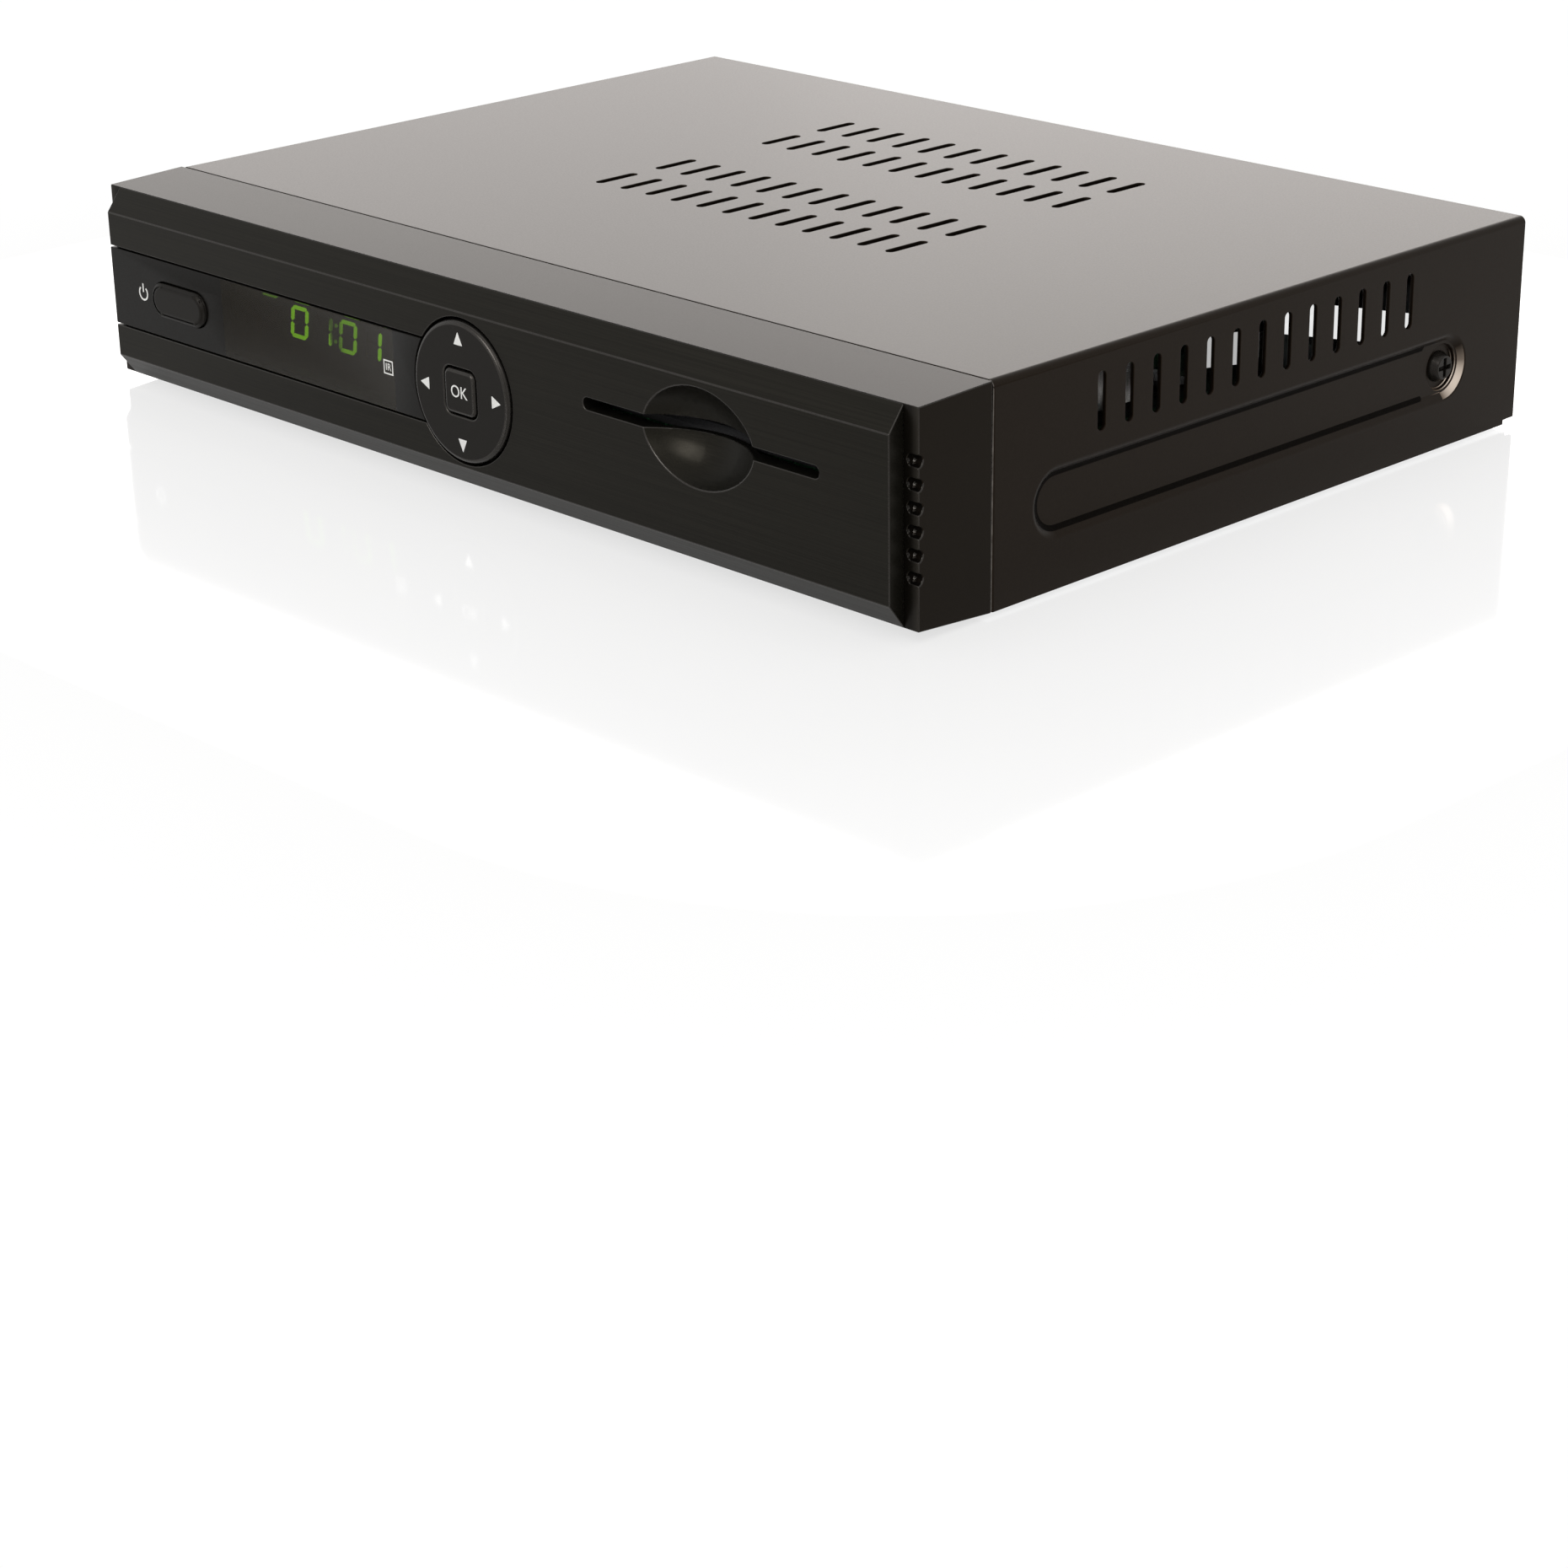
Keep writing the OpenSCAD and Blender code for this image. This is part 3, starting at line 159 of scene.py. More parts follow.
# %% [markdown]
# ## Black finishes
# The receiver is black in three ways: paint with a fine orange-peel grain on the steel, satin moulded
# plastic on the frame and buttons, and hairline brushing on the face plate. Nearly all that shows on such
# a surface is reflection, so the base colours are almost nil. The specular level is low too, because the
# real finishes stay dark when they mirror a white floor and light up only at a grazing angle. A warm tint
# on the reflection gives the brownish black of old enamel.

# %% Grain and hairlines
WARM = (1.0, 0.72, 0.50, 1)
SATIN = (1, 0.92, 0.84, 1)
PLAIN = (1, 1, 1, 1)
BRUSHED = (1.0, 0.91, 0.74, 1)
GRAIN_SHEEN = 0.02


def speckled(name, dark, light, rough, grain_mm, depth_mm, specular=0.11, sheen_tint=WARM):
    """A finish with an even grain: colour, roughness and relief vary together."""
    material, tree, shader = start_finish(name, rough, specular)
    shader.inputs["Specular Tint"].default_value = sheen_tint
    grain = noise(tree, grain_mm)
    tint(tree, shader, grain, dark, light)
    vary_roughness(tree, shader, grain, rough - GRAIN_SHEEN, rough + GRAIN_SHEEN)
    bump(tree, shader, grain, depth_mm)
    return material


def brushed_black():
    """Hairlines along X, a sixth of a millimetre across and centimetres long."""
    material, tree, shader = start_finish("face_brushed", rough=0.34, specular=0.11)
    shader.inputs["Specular Tint"].default_value = BRUSHED
    hairline = noise(tree, size_mm=0.16, stretch=(260, 1, 1), detail=3.0)
    tint(tree, shader, hairline, dark=(0.0037, 0.0034, 0.0026), light=(0.008, 0.0074, 0.0057))
    vary_roughness(tree, shader, hairline, low=0.29, high=0.39)
    bump(tree, shader, hairline, depth_mm=0.007)
    return material


finishes = {"face_brushed": brushed_black()}
print("first finish:", list(finishes))

# %% [markdown]
# A table lists the grained blacks in the order that `speckled` takes its values: the dark and the light
# colour, the roughness, the grain and its depth in millimetres, and then the specular level and the tint
# of the reflection where they differ from those of the paint.

# %% Paint, plastics and rubber
BLACKS = {
    "cover_paint": ((0.0052, 0.0036, 0.0024), (0.0068, 0.0049, 0.0034), 0.31, 0.35, 0.003),
    "front_plastic": ((0.0044, 0.0036, 0.0024), (0.0058, 0.0048, 0.0034), 0.33, 0.25, 0.003, 0.085),
    "button_plastic": ((0.0054, 0.0048, 0.0040), (0.0077, 0.0069, 0.0058), 0.36, 0.2, 0.004, 0.11, SATIN),
    "dark_plastic": ((0.03, 0.03, 0.032), (0.05, 0.05, 0.053), 0.5, 0.3, 0.006, 0.3, PLAIN),
    "foot_rubber": ((0.014, 0.014, 0.015), (0.026, 0.026, 0.027), 0.75, 0.4, 0.02, 0.2, PLAIN),
    "black_screw": ((0.006, 0.0052, 0.0044), (0.012, 0.0105, 0.009), 0.28, 0.15, 0.004, 0.2, SATIN),
    "chip_plastic": ((0.018, 0.018, 0.02), (0.035, 0.035, 0.037), 0.55, 0.15, 0.006, 0.3, PLAIN),
    "display_black": ((0.004, 0.004, 0.005), (0.009, 0.009, 0.010), 0.5, 0.3, 0.004),
    "unlit_grey": ((0.010, 0.011, 0.009), (0.016, 0.018, 0.014), 0.5, 0.2, 0.003),
    "eye_plastic": ((0.012, 0.004, 0.006), (0.02, 0.008, 0.01), 0.12, 1.5, 0.002, 0.5, PLAIN),
}
finishes.update({name: speckled(name, *values) for name, values in BLACKS.items()})
print("black finishes:", len(finishes))

# %% [markdown]
# ## Metals
# The chassis is zinc-plated sheet with faint rolling lines and a cloudy bloom. Cans and socket shells are
# tin or nickel plate, brighter and smoother. Brass, plated contacts and cast heat-sink fins differ only in
# colour and grain. The table gives the dark and the light colour, the roughness, the size of the bloom in
# millimetres, and where it matters how far the working lines are drawn out and how deep they are.

# %% Sheet steel and plating
WORKING_MM = 0.25
WORKING_SHEEN = 0.06


def plated(name, dark, light, rough, bloom_mm, lines=(1, 1, 1), depth_mm=0.002):
    """Bright metal whose colour clouds slowly and whose sheen follows its working lines."""
    material, tree, shader = start_finish(name, rough, metal=1.0)
    bloom = noise(tree, bloom_mm, detail=4.0)
    working = noise(tree, WORKING_MM, stretch=lines)
    tint(tree, shader, bloom, dark, light)
    vary_roughness(tree, shader, working, rough - WORKING_SHEEN, rough + WORKING_SHEEN)
    bump(tree, shader, working, depth_mm)
    return material


METALS = {
    "chassis_steel": ((0.33, 0.335, 0.34), (0.41, 0.415, 0.42), 0.34, 14, (160, 1, 1), 0.004),
    "bright_screw": ((0.50, 0.51, 0.53), (0.68, 0.69, 0.71), 0.28, 1.5),
    "brass_metal": ((0.55, 0.42, 0.16), (0.72, 0.57, 0.26), 0.26, 2),
    "fin_aluminium": ((0.52, 0.53, 0.54), (0.66, 0.67, 0.68), 0.42, 3, (1, 60, 1)),
    "tin_plate": ((0.66, 0.67, 0.67), (0.80, 0.81, 0.81), 0.14, 9),
    "nickel_plate": ((0.60, 0.58, 0.53), (0.74, 0.72, 0.67), 0.20, 3),
}
finishes.update({name: plated(name, *values) for name, values in METALS.items()})
print("with metals:", len(finishes))

# %% [markdown]
# ## Boards, bodies of parts and coloured plastic
# Circuit boards are green lacquer over copper: wide copper areas show through as lighter patches with
# straight edges, so a Brick texture laid in the board's plane stands for tracks. Coloured jack inserts
# and white headers are plain moulded plastic with a fine grain and an untinted reflection.

# %% Boards and coloured plastics
TRACKS_MM = 9
MOULDED_SPECULAR = 0.4


def lacquered_board():
    """Green lacquer with lighter tracks under it."""
    material, tree, shader = start_finish("board_green", rough=0.32, specular=0.45)
    place = tree.nodes.new("ShaderNodeTexCoord")
    tracks = tree.nodes.new("ShaderNodeTexBrick")
    tracks.inputs["Scale"].default_value = per(TRACKS_MM)
    tracks.inputs["Mortar Size"].default_value = 0.035
    tracks.inputs["Color1"].default_value = (0.016, 0.095, 0.034, 1)
    tracks.inputs["Color2"].default_value = (0.020, 0.125, 0.044, 1)
    tracks.inputs["Mortar"].default_value = (0.045, 0.21, 0.085, 1)
    tree.links.new(place.outputs["Object"], tracks.inputs["Vector"])
    tree.links.new(tracks.outputs["Color"], shader.inputs["Base Color"])
    bump(tree, shader, tracks.outputs["Fac"], depth_mm=0.03)
    vary_roughness(tree, shader, noise(tree, size_mm=4), low=0.26, high=0.38)
    return material


COLOURS = {
    "capacitor_sleeve": ((0.014, 0.018, 0.035), (0.02, 0.026, 0.05), 0.3, 0.6, 0.004),
    "ferrite_grey": ((0.05, 0.05, 0.055), (0.09, 0.09, 0.095), 0.6, 0.12, 0.01),
    "white_plastic": ((0.72, 0.71, 0.68), (0.78, 0.77, 0.74), 0.4, 0.3, 0.003),
    "orange_plastic": ((0.60, 0.17, 0.012), (0.68, 0.21, 0.02), 0.38, 0.3, 0.003),
    "yellow_plastic": ((0.70, 0.48, 0.012), (0.78, 0.55, 0.02), 0.38, 0.3, 0.003),
    "red_plastic": ((0.42, 0.012, 0.01), (0.50, 0.02, 0.016), 0.38, 0.3, 0.003),
    "ribbon_grey": ((0.55, 0.55, 0.52), (0.64, 0.63, 0.60), 0.45, 0.6, 0.004),
}
finishes["board_green"] = lacquered_board()
finishes.update({name: speckled(name, *values, MOULDED_SPECULAR, PLAIN) for name, values in COLOURS.items()})
print("with boards and colours:", len(finishes))

# %% [markdown]
# ## Window and light
# The display window is smoked acrylic: it looks as black as the frame until something glows behind it.
# Transmission with a very dark tint does that, because the strong light from behind crosses the sheet
# once, while room light has to cross it twice. The body of the sheet hardly bends light here, so that the
# digits stay sharp, and a satin coat carries the reflection. On both sides of the display the sheet is
# painted black behind, so it has a second finish without transmission. A trace of warm sheen on the clear
# part makes both look the same.

# %% Smoked window
def smoked_acrylic(name, clear, dark, light, haze):
    """Dark acrylic under a satin coat; clear is the share of light that may pass, haze a warm bloom."""
    material, tree, shader = start_finish(name, rough=0.03, specular=0.0)
    shader.inputs["Specular Tint"].default_value = (0, 0, 0, 1)
    shader.inputs["IOR"].default_value = 1.05
    shader.inputs["Transmission Weight"].default_value = clear
    shader.inputs["Coat Weight"].default_value = 1.0
    shader.inputs["Coat Roughness"].default_value = 0.33
    shader.inputs["Coat IOR"].default_value = 1.21
    shader.inputs["Sheen Weight"].default_value = haze
    shader.inputs["Sheen Roughness"].default_value = 0.9
    shader.inputs["Sheen Tint"].default_value = (1.0, 0.76, 0.38, 1)
    tint(tree, shader, noise(tree, size_mm=0.3), dark, light)
    return material


WINDOWS = {
    "smoked_window": (1.0, (0.034, 0.032, 0.029), (0.04, 0.038, 0.034), 0.023),
    "backed_window": (0.0, (0.0044, 0.0038, 0.003), (0.0074, 0.0066, 0.0056), 0.0),
}
finishes.update({name: smoked_acrylic(name, *values) for name, values in WINDOWS.items()})
print("windows:", list(WINDOWS))

# %% [markdown]
# The digits glow a yellow-green, and the left half of the third one is weaker, as in a display whose
# electronics light the digits in turn. The standby lamp shows as a thin dash, so its brightness falls off
# above and below its middle. A Color Ramp holds such a run of brightness: it follows one Object coordinate
# through a list of stops.

# %% Glowing digits and lamp
def follow(tree, reading, stops):
    """Value or colour that follows a reading: pairs of a reading and a value, joined by straight runs."""
    first, last = stops[0][0], stops[-1][0]
    share = tree.nodes.new("ShaderNodeMapRange")
    share.inputs["From Min"].default_value = first
    share.inputs["From Max"].default_value = last
    ramp = tree.nodes.new("ShaderNodeValToRGB")
    points = ramp.color_ramp.elements
    for at, value in stops[1:-1]:
        points.new((at - first) / (last - first))
    for point, (at, value) in zip(points, stops):
        point.color = (*value, 1) if isinstance(value, tuple) else (value, value, value, 1)
    tree.links.new(reading, share.inputs["Value"])
    tree.links.new(share.outputs["Result"], ramp.inputs["Fac"])
    return ramp.outputs["Color"]


def along(tree, axis, stops):
    """Value that changes along an axis: pairs of a place in millimetres and a value."""
    place = tree.nodes.new("ShaderNodeTexCoord")
    split = tree.nodes.new("ShaderNodeSeparateXYZ")
    tree.links.new(place.outputs["Object"], split.inputs["Vector"])
    return follow(tree, split.outputs[axis], [(at * MM, value) for at, value in stops])


def glowing(name, axis, stops):
    """A lit surface whose brightness changes along an axis."""
    material, tree, shader = start_finish(name, rough=0.4, specular=0.3)
    shader.inputs["Base Color"].default_value = (0.01, 0.015, 0.005, 1)
    shader.inputs["Emission Color"].default_value = (*DIGIT_GREEN, 1)
    tree.links.new(along(tree, axis, stops), shader.inputs["Emission Strength"])
    return material


DIGIT_GREEN = (2.8, 7.4, 0.04)
THIRD_FROM_MIDDLE = 2.2
digits_low, digits_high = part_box("lit_segments")
DIGITS_L, DIGITS_R = digits_low.x / MM, digits_high.x / MM
third = (DIGITS_L + DIGITS_R) / 2 + THIRD_FROM_MIDDLE
lamp_low, lamp_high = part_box("standby_lamp")
DASH = (lamp_low.z + lamp_high.z) / 2 / MM
finishes["lit_green"] = glowing("lit_green", "X", [
    (DIGITS_L, 1.0), (third - 4.2, 1.0), (third - 3.6, 0.17), (third - 1.0, 0.3), (third + 0.4, 0.73),
    (DIGITS_R, 0.97)])
finishes["lamp_green"] = glowing("lamp_green", "Z", [
    (DASH - 0.7, 0.0), (DASH - 0.25, 0.015), (DASH, 0.5), (DASH + 0.25, 0.015), (DASH + 0.7, 0.0)])
missing = sorted(set(SLOT_OF.values()) - set(finishes))
print("finishes made:", len(finishes), "missing:", missing)

# %% [markdown]
# ## Finishes on the solids
# Each node of the model names its material slot in the record. A node keeps its mesh, and only its
# material slots change.

# %% Put the finishes on
for node, piece in NODES.items():
    for material_slot in piece.material_slots:
        material_slot.material = finishes[SLOT_OF[node]]
print("nodes finished:", len(NODES))

# %% [markdown]
# ## Rounded edges
# No moulded or pressed edge is perfectly sharp, and the thin lines of light along the edges tell the eye
# what a black object is shaped like. Each visible solid is copied, its loose triangles are welded and
# merged into flat faces, and a Bevel modifier rounds the edges that turn by more than 30 degrees. The copy
# then stands for the solid, which stays behind for the physics.

# %% Copy, weld and cut
WELD = 0.002 * MM
FLAT = math.radians(0.4)
SHARP = math.radians(30)


def pick(*pieces):
    """Select these objects alone, with the last one active."""
    bpy.ops.object.select_all(action="DESELECT")
    for piece in pieces:
        piece.select_set(True)
    bpy.context.view_layer.objects.active = pieces[-1]


def open_mesh():
    """Edit the active mesh with all of it selected."""
    bpy.ops.object.mode_set(mode="EDIT")
    bpy.ops.mesh.select_all(action="SELECT")


def close_mesh():
    """Go back to whole objects."""
    bpy.ops.object.mode_set(mode="OBJECT")


def welded_copy(node):
    """A copy of a solid with its triangles welded and merged into flat faces."""
    piece = bpy.data.objects.new(node + "_rounded", NODES[node].data.copy())
    bpy.context.collection.objects.link(piece)
    pick(piece)
    bpy.ops.mesh.customdata_custom_splitnormals_clear()
    open_mesh()
    bpy.ops.mesh.select_mode(type="EDGE")
    bpy.ops.mesh.select_all(action="SELECT")
    bpy.ops.mesh.remove_doubles(threshold=WELD)
    bpy.ops.mesh.dissolve_limited(angle_limit=FLAT)
    close_mesh()
    return piece


def cut_across(piece, place, way):
    """Split the faces of a piece along a plane."""
    pick(piece)
    open_mesh()
    bpy.ops.mesh.bisect(plane_co=place, plane_no=way)
    close_mesh()


print("edges turn sharp at:", round(math.degrees(SHARP)), "degrees")

# %% [markdown]
# Where an edge is softer than the rest, an earlier Bevel takes only the edges with a bevel weight, which
# are picked by their place. A bend may have a finish of its own: edges that hands touch are rubbed a
# little shinier and are painted a little lighter, a painted highlight along them, and the inner creases of
# a pressing are painted darker, as painted shade. A wide bevel can throw a few points off the solid where
# it meets a tight corner, so those are brought back to the surface afterwards.

# %% Bevel and tidy up
STRAY = 0.26 * MM


def weigh(piece, where):
    """Give a bevel weight to the sharp edges at the places that where accepts, in millimetres."""
    bpy.ops.object.mode_set(mode="EDIT")
    bpy.ops.mesh.select_all(action="DESELECT")
    bpy.ops.mesh.edges_select_sharp(sharpness=SHARP)
    close_mesh()
    mesh = piece.data
    layer = "bevel_weight_edge"
    weights = mesh.attributes.get(layer) or mesh.attributes.new(layer, "FLOAT", "EDGE")
    for edge in mesh.edges:
        middle = (mesh.vertices[edge.vertices[0]].co + mesh.vertices[edge.vertices[1]].co) / 2 / MM
        weights.data[edge.index].value = 1.0 if edge.select and where(middle) else 0.0


def bevelled(piece, width_mm, rings, where=None, bend=-1, slide=False):
    """Round the sharp edges, all or only where told; bend is the material slot of the new faces."""
    if where:
        weigh(piece, where)
    bpy.ops.object.modifier_add(type="BEVEL")
    bevel = piece.modifiers[-1]
    bevel.width = width_mm * MM
    bevel.segments = rings
    bevel.limit_method = "WEIGHT" if where else "ANGLE"
    bevel.angle_limit = SHARP
    bevel.use_clamp_overlap = False
    bevel.loop_slide = slide
    bevel.material = bend
    bpy.ops.object.modifier_apply(modifier=bevel.name)


def pull_in(piece, node):
    """Bring the few points that a bevel threw off the solid back to its surface."""
    for vertex in piece.data.vertices:
        spot = NODES[node].closest_point_on_mesh(vertex.co)[1]
        if (spot - vertex.co).length > STRAY:
            vertex.co = spot


# Painted shade: the crease finish is darker than the paint, for the shade in inner creases and hollows.
PAINTED_SHADE = ((0.001, 0.0009, 0.0008), (0.003, 0.0026, 0.0022), 0.6, 0.35, 0.004, 0.03)
# Painted highlight: the rubbed edge finish is lighter than the plastic, for lines of light on rounded edges.
SHINY_AND_LIT = ((0.008, 0.0074, 0.0067), (0.014, 0.013, 0.0118), 0.28, 0.6, 0.002, 0.32, SATIN)
finishes["crease"] = speckled("crease", *PAINTED_SHADE)
finishes["rubbed_edge"] = speckled("rubbed_edge", *SHINY_AND_LIT)
print("finishes for bends:", "crease", "rubbed_edge")

# %% [markdown]
# The long recess in each side of the cover is pressed, so its rim and foot are wide soft bends. They stay
# narrow round the screw, where the recess is deeper and its bends lie close together, and the foot's wide
# bend ends at a cut in front of the screw. The front edges of the buttons are rounder than the rest too.

# %% Where the soft bends are
cover_low, cover_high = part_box("top_cover")
STAND = cover_low.z
screw_low, screw_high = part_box("side_screws")
SIDE = cover_high.x / MM
SCREW_Y = (screw_low.y + screw_high.y) / 2 / MM
SCREW_Z = (screw_low.z + screw_high.z) / 2 / MM
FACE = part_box("face_plate")[0].y / MM
RECESS_HALF_H = 6.6
RECESS_HALF_L = 70
DIMPLE_R = 5.6
RIM_DEPTH = (-0.1, 0.1)
FOOT_DEPTH = (0.9, 1.1)
CUTS = {"top_cover": SCREW_Y - 6}


def along_recess(place, depth):
    """A bend of the pressed recess between two depths, away from the screw."""
    level = abs(place.z - SCREW_Z) < RECESS_HALF_H and abs(place.y) < RECESS_HALF_L
    beside = level and depth[0] < SIDE - abs(place.x) < depth[1]
    return beside and math.hypot(place.y - SCREW_Y, place.z - SCREW_Z) > DIMPLE_R


def on_rim(place):
    """Outer bend of the recess."""
    return along_recess(place, RIM_DEPTH)


# The foot's wide bend gets the crease finish: painted shade along the inner crease of the recess.
def on_foot(place):
    """Inner bend of the recess, up to the cut in front of the screw."""
    return along_recess(place, FOOT_DEPTH) and place.y < CUTS["top_cover"]


def on_button_front(place):
    """In front of the face."""
    return place.y < FACE


print("side of the cover:", round(SIDE, 2), "screw at:", round(SCREW_Y, 2), round(SCREW_Z, 2))

# %% [markdown]
# The table names for each solid a second finish, if a bend needs one, and its bevels in turn: the width in
# millimetres, the number of rings, and where it matters the place, the slot of the second finish and
# whether the bevel may slide along its neighbours. Weighted normals keep the large faces flat in the light.

# %% Round them
SMOOTH = math.radians(50)


def hold(piece, body, slot, *nodes):
    """Fasten a finished piece to a body and hide the solids that it stands for; slot is not used."""
    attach(piece, body)
    if nodes:
        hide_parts(*nodes)
    return piece


def rounded_copy(node, second, *bevels):
    """The welded copy after these bevels, with a second finish for the bends that ask for it."""
    piece = welded_copy(node)
    if node in CUTS:
        cut_across(piece, (0, CUTS[node] * MM, 0), (0, 1, 0))
    if second:
        piece.data.materials.append(finishes[second])
    for bevel in bevels:
        bevelled(piece, *bevel)
    pull_in(piece, node)
    bpy.ops.object.shade_smooth_by_angle(angle=SMOOTH)
    bpy.ops.object.modifier_add(type="WEIGHTED_NORMAL")
    piece.modifiers[-1].keep_sharp = True
    bpy.ops.object.modifier_apply(modifier=piece.modifiers[-1].name)
    print(node, "faces after rounding:", len(piece.data.polygons))
    return hold(piece, BODY_OF[node], SLOT_OF[node], node)


# The second finishes paint a lighter highlight on rounded edges, or shade into the foot of the recess.
ROUNDING = {
    "top_cover": ("crease", (0.5, 4, on_rim), (0.55, 4, on_foot, 1), (0.14, 2)),
    "front_frame": ("rubbed_edge", (0.2, 2, None, 1)),
    "face_plate": ("rubbed_edge", (0.18, 2, None, 1)),
    "display_window": ("backed_window", (0.15, 2)),
    "power_button": (None, (0.7, 5, on_button_front, -1, True), (0.15, 2, None, -1, True)),
    "nav_ring": ("rubbed_edge", (0.33, 4, on_button_front, 1), (0.15, 2)),
    "ok_button": ("rubbed_edge", (0.6, 4, on_button_front, 1), (0.2, 2)),
    "side_screws": (None, (0.12, 2)),
    "rear_screws": (None, (0.12, 2)),
    "rubber_feet": (None, (0.12, 2)),
}
rounded = {node: rounded_copy(node, *steps) for node, steps in ROUNDING.items()}

# %% [markdown]
# The narrow strips beside the face plate are painted lighter towards the corner edge: a painted highlight
# on the rounded corner, with painted shade next to the plate. The lower lips of their notches, which face
# up to the light, keep the lighter edge finish as a painted highlight, while the hollows get the darker
# crease finish as painted shade. A finish that changes along X gives the lit strip, and the faces that get
# each finish are picked by their place and the way they look.

# %% Painted light and shade on the corners of the frame
LIT_W = 1.8
CORNER_W = 3.4
LIP_DEPTH = 1.3
HOLLOW_DEPTH = (0.1, 1.2)


def worn_strip():
    """Frame plastic painted lighter towards the corner edge at both ends: a painted highlight."""
    material, tree, shader = start_finish("worn_strip", rough=0.33, specular=0.085)
    shader.inputs["Specular Tint"].default_value = SATIN
    shade_tone, lit_tone = (0.004, 0.0033, 0.0024), (0.026, 0.023, 0.019)
    stops = [(-SIDE, lit_tone), (LIT_W - SIDE, shade_tone), (SIDE - LIT_W, shade_tone), (SIDE, lit_tone)]
    tree.links.new(along(tree, "X", stops), shader.inputs["Base Color"])
    bump(tree, shader, noise(tree, size_mm=0.25), depth_mm=0.003)
    return material


def frame_finish(place, way, finish):
    """Slot of a face of the frame: 0 plain, 1 edge with painted highlight, 2 strip with painted light, 3
    hollow with painted shade.
    """
    depth = place.y - STRIP
    if depth < 0.05 and way.y < -0.9:
        return 2
    # Downward-facing lips near the corners lose the painted highlight; upward-facing ones keep it.
    if abs(place.x) > SIDE - CORNER_W and depth < LIP_DEPTH and finish == 1 and way.z < -0.1:
        return 0
    in_notch = SIDE - CORNER_W < abs(place.x) < SIDE - 0.03 and HOLLOW_DEPTH[0] < depth < HOLLOW_DEPTH[1]
    return 3 if in_notch and abs(way.z) < 0.999 and finish == 0 else finish


def faces_by_slot(piece):
    """Number of faces in each material slot."""
    slots = range(len(piece.data.materials))
    return [sum(polygon.material_index == i for polygon in piece.data.polygons) for i in slots]


finishes["worn_strip"] = worn_strip()
moulding = rounded["front_frame"]
moulding.data.materials.append(finishes["worn_strip"])
moulding.data.materials.append(finishes["crease"])
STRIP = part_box("front_frame")[0].y / MM
for polygon in moulding.data.polygons:
    polygon.material_index = frame_finish(polygon.center / MM, polygon.normal, polygon.material_index)
print("frame faces by finish:", faces_by_slot(moulding))

# %% [markdown]
# The window is cut across left of the lamp and right of the infrared eye. The part between the cuts stays
# clear, and both ends get the black finish. So do the narrow edges of the sheet, which would otherwise show
# a second image of the digits.

# %% Black ends of the window
EYE_X = -19.95 * MM
PAST_LAMP = 1.5 * MM
PAST_EYE = 1.7 * MM
CLEAR = (lamp_low.x - PAST_LAMP, EYE_X + PAST_EYE)
window = rounded["display_window"]
for place_x in CLEAR:
    cut_across(window, (place_x, 0, 0), (1, 0, 0))
for polygon in window.data.polygons:
    if not CLEAR[0] < polygon.center.x < CLEAR[1] or abs(polygon.normal.y) < 0.5:
        polygon.material_index = 1
print("window faces, clear and black:", faces_by_slot(window))

# %% [markdown]
# The cover is cut from coated sheet, so its front edge is bare steel; only its faces that look out to the
# sides get it, where it also serves as a painted line of light along the seam. Below and behind each side
# screw the paint on the walls of the pressing gives way to bare steel, partly paint rubbed off by a
# slipping screwdriver and partly a painted highlight: it is graded to stand in for two soft bright
# crescents of reflected light. The finish measures for each point how well its direction from the screw
# agrees with the brightest one: Vector Math nodes subtract the screw's place, flatten and normalise the
# rest, and take the dot product.

# %% Bare steel and painted highlights
GLINT_AT = math.radians(-42)


def measured(tree, *steps):
    """Reading of the Object coordinates after these vector operations."""
    socket = tree.nodes.new("ShaderNodeTexCoord").outputs["Object"]
    for operation, value in steps:
        step = tree.nodes.new("ShaderNodeVectorMath")
        step.operation = operation
        tree.links.new(socket, step.inputs[0])
        if value:
            step.inputs[1].default_value = value
        socket = step.outputs["Value" if operation in ("LENGTH", "DOT_PRODUCT") else "Vector"]
    return socket


def rubbed_steel():
    """Paint that gives way to bare steel on the side of the screw that looks down and to the rear, graded as
    a painted highlight.
    """
    material, tree, shader = start_finish("rubbed_steel", rough=0.34, specular=0.11)
    shader.inputs["Specular Tint"].default_value = WARM
    screw = (0, SCREW_Y * MM, SCREW_Z * MM)
    low_rear = (0, math.cos(GLINT_AT), math.sin(GLINT_AT))
    toward = measured(tree, ("SUBTRACT", screw), ("MULTIPLY", (0, 1, 1)), ("NORMALIZE", None),
                      ("DOT_PRODUCT", low_rear))
    paint, thin, bare = (0.006, 0.0043, 0.003), (0.16, 0.13, 0.105), (0.62, 0.53, 0.45)
    colour = follow(tree, toward, [(-1, paint), (0.2, paint), (0.7, thin), (1, bare)])
    metal = follow(tree, toward, [(-1, 0.0), (0.2, 0.0), (0.6, 1.0), (1, 1.0)])
    tree.links.new(colour, shader.inputs["Base Color"])
    tree.links.new(metal, shader.inputs["Metallic"])
    bump(tree, shader, noise(tree, size_mm=0.25), depth_mm=0.002)
    return material


# The bare edge finish goes only where the cover's front edge looks out to the sides: a painted line of light.
finishes["bare_edge"] = plated("bare_edge", (0.07, 0.062, 0.055), (0.13, 0.117, 0.105), 0.4, 2)
finishes["rubbed_steel"] = rubbed_steel()
print("bare finishes:", "bare_edge", "rubbed_steel")

# %% [markdown]
# The seam's faces look forward and outward. The two walls round the screw slope, so they are told from the
# flat floor and side by their normals, and from each other by their distance from the screw.

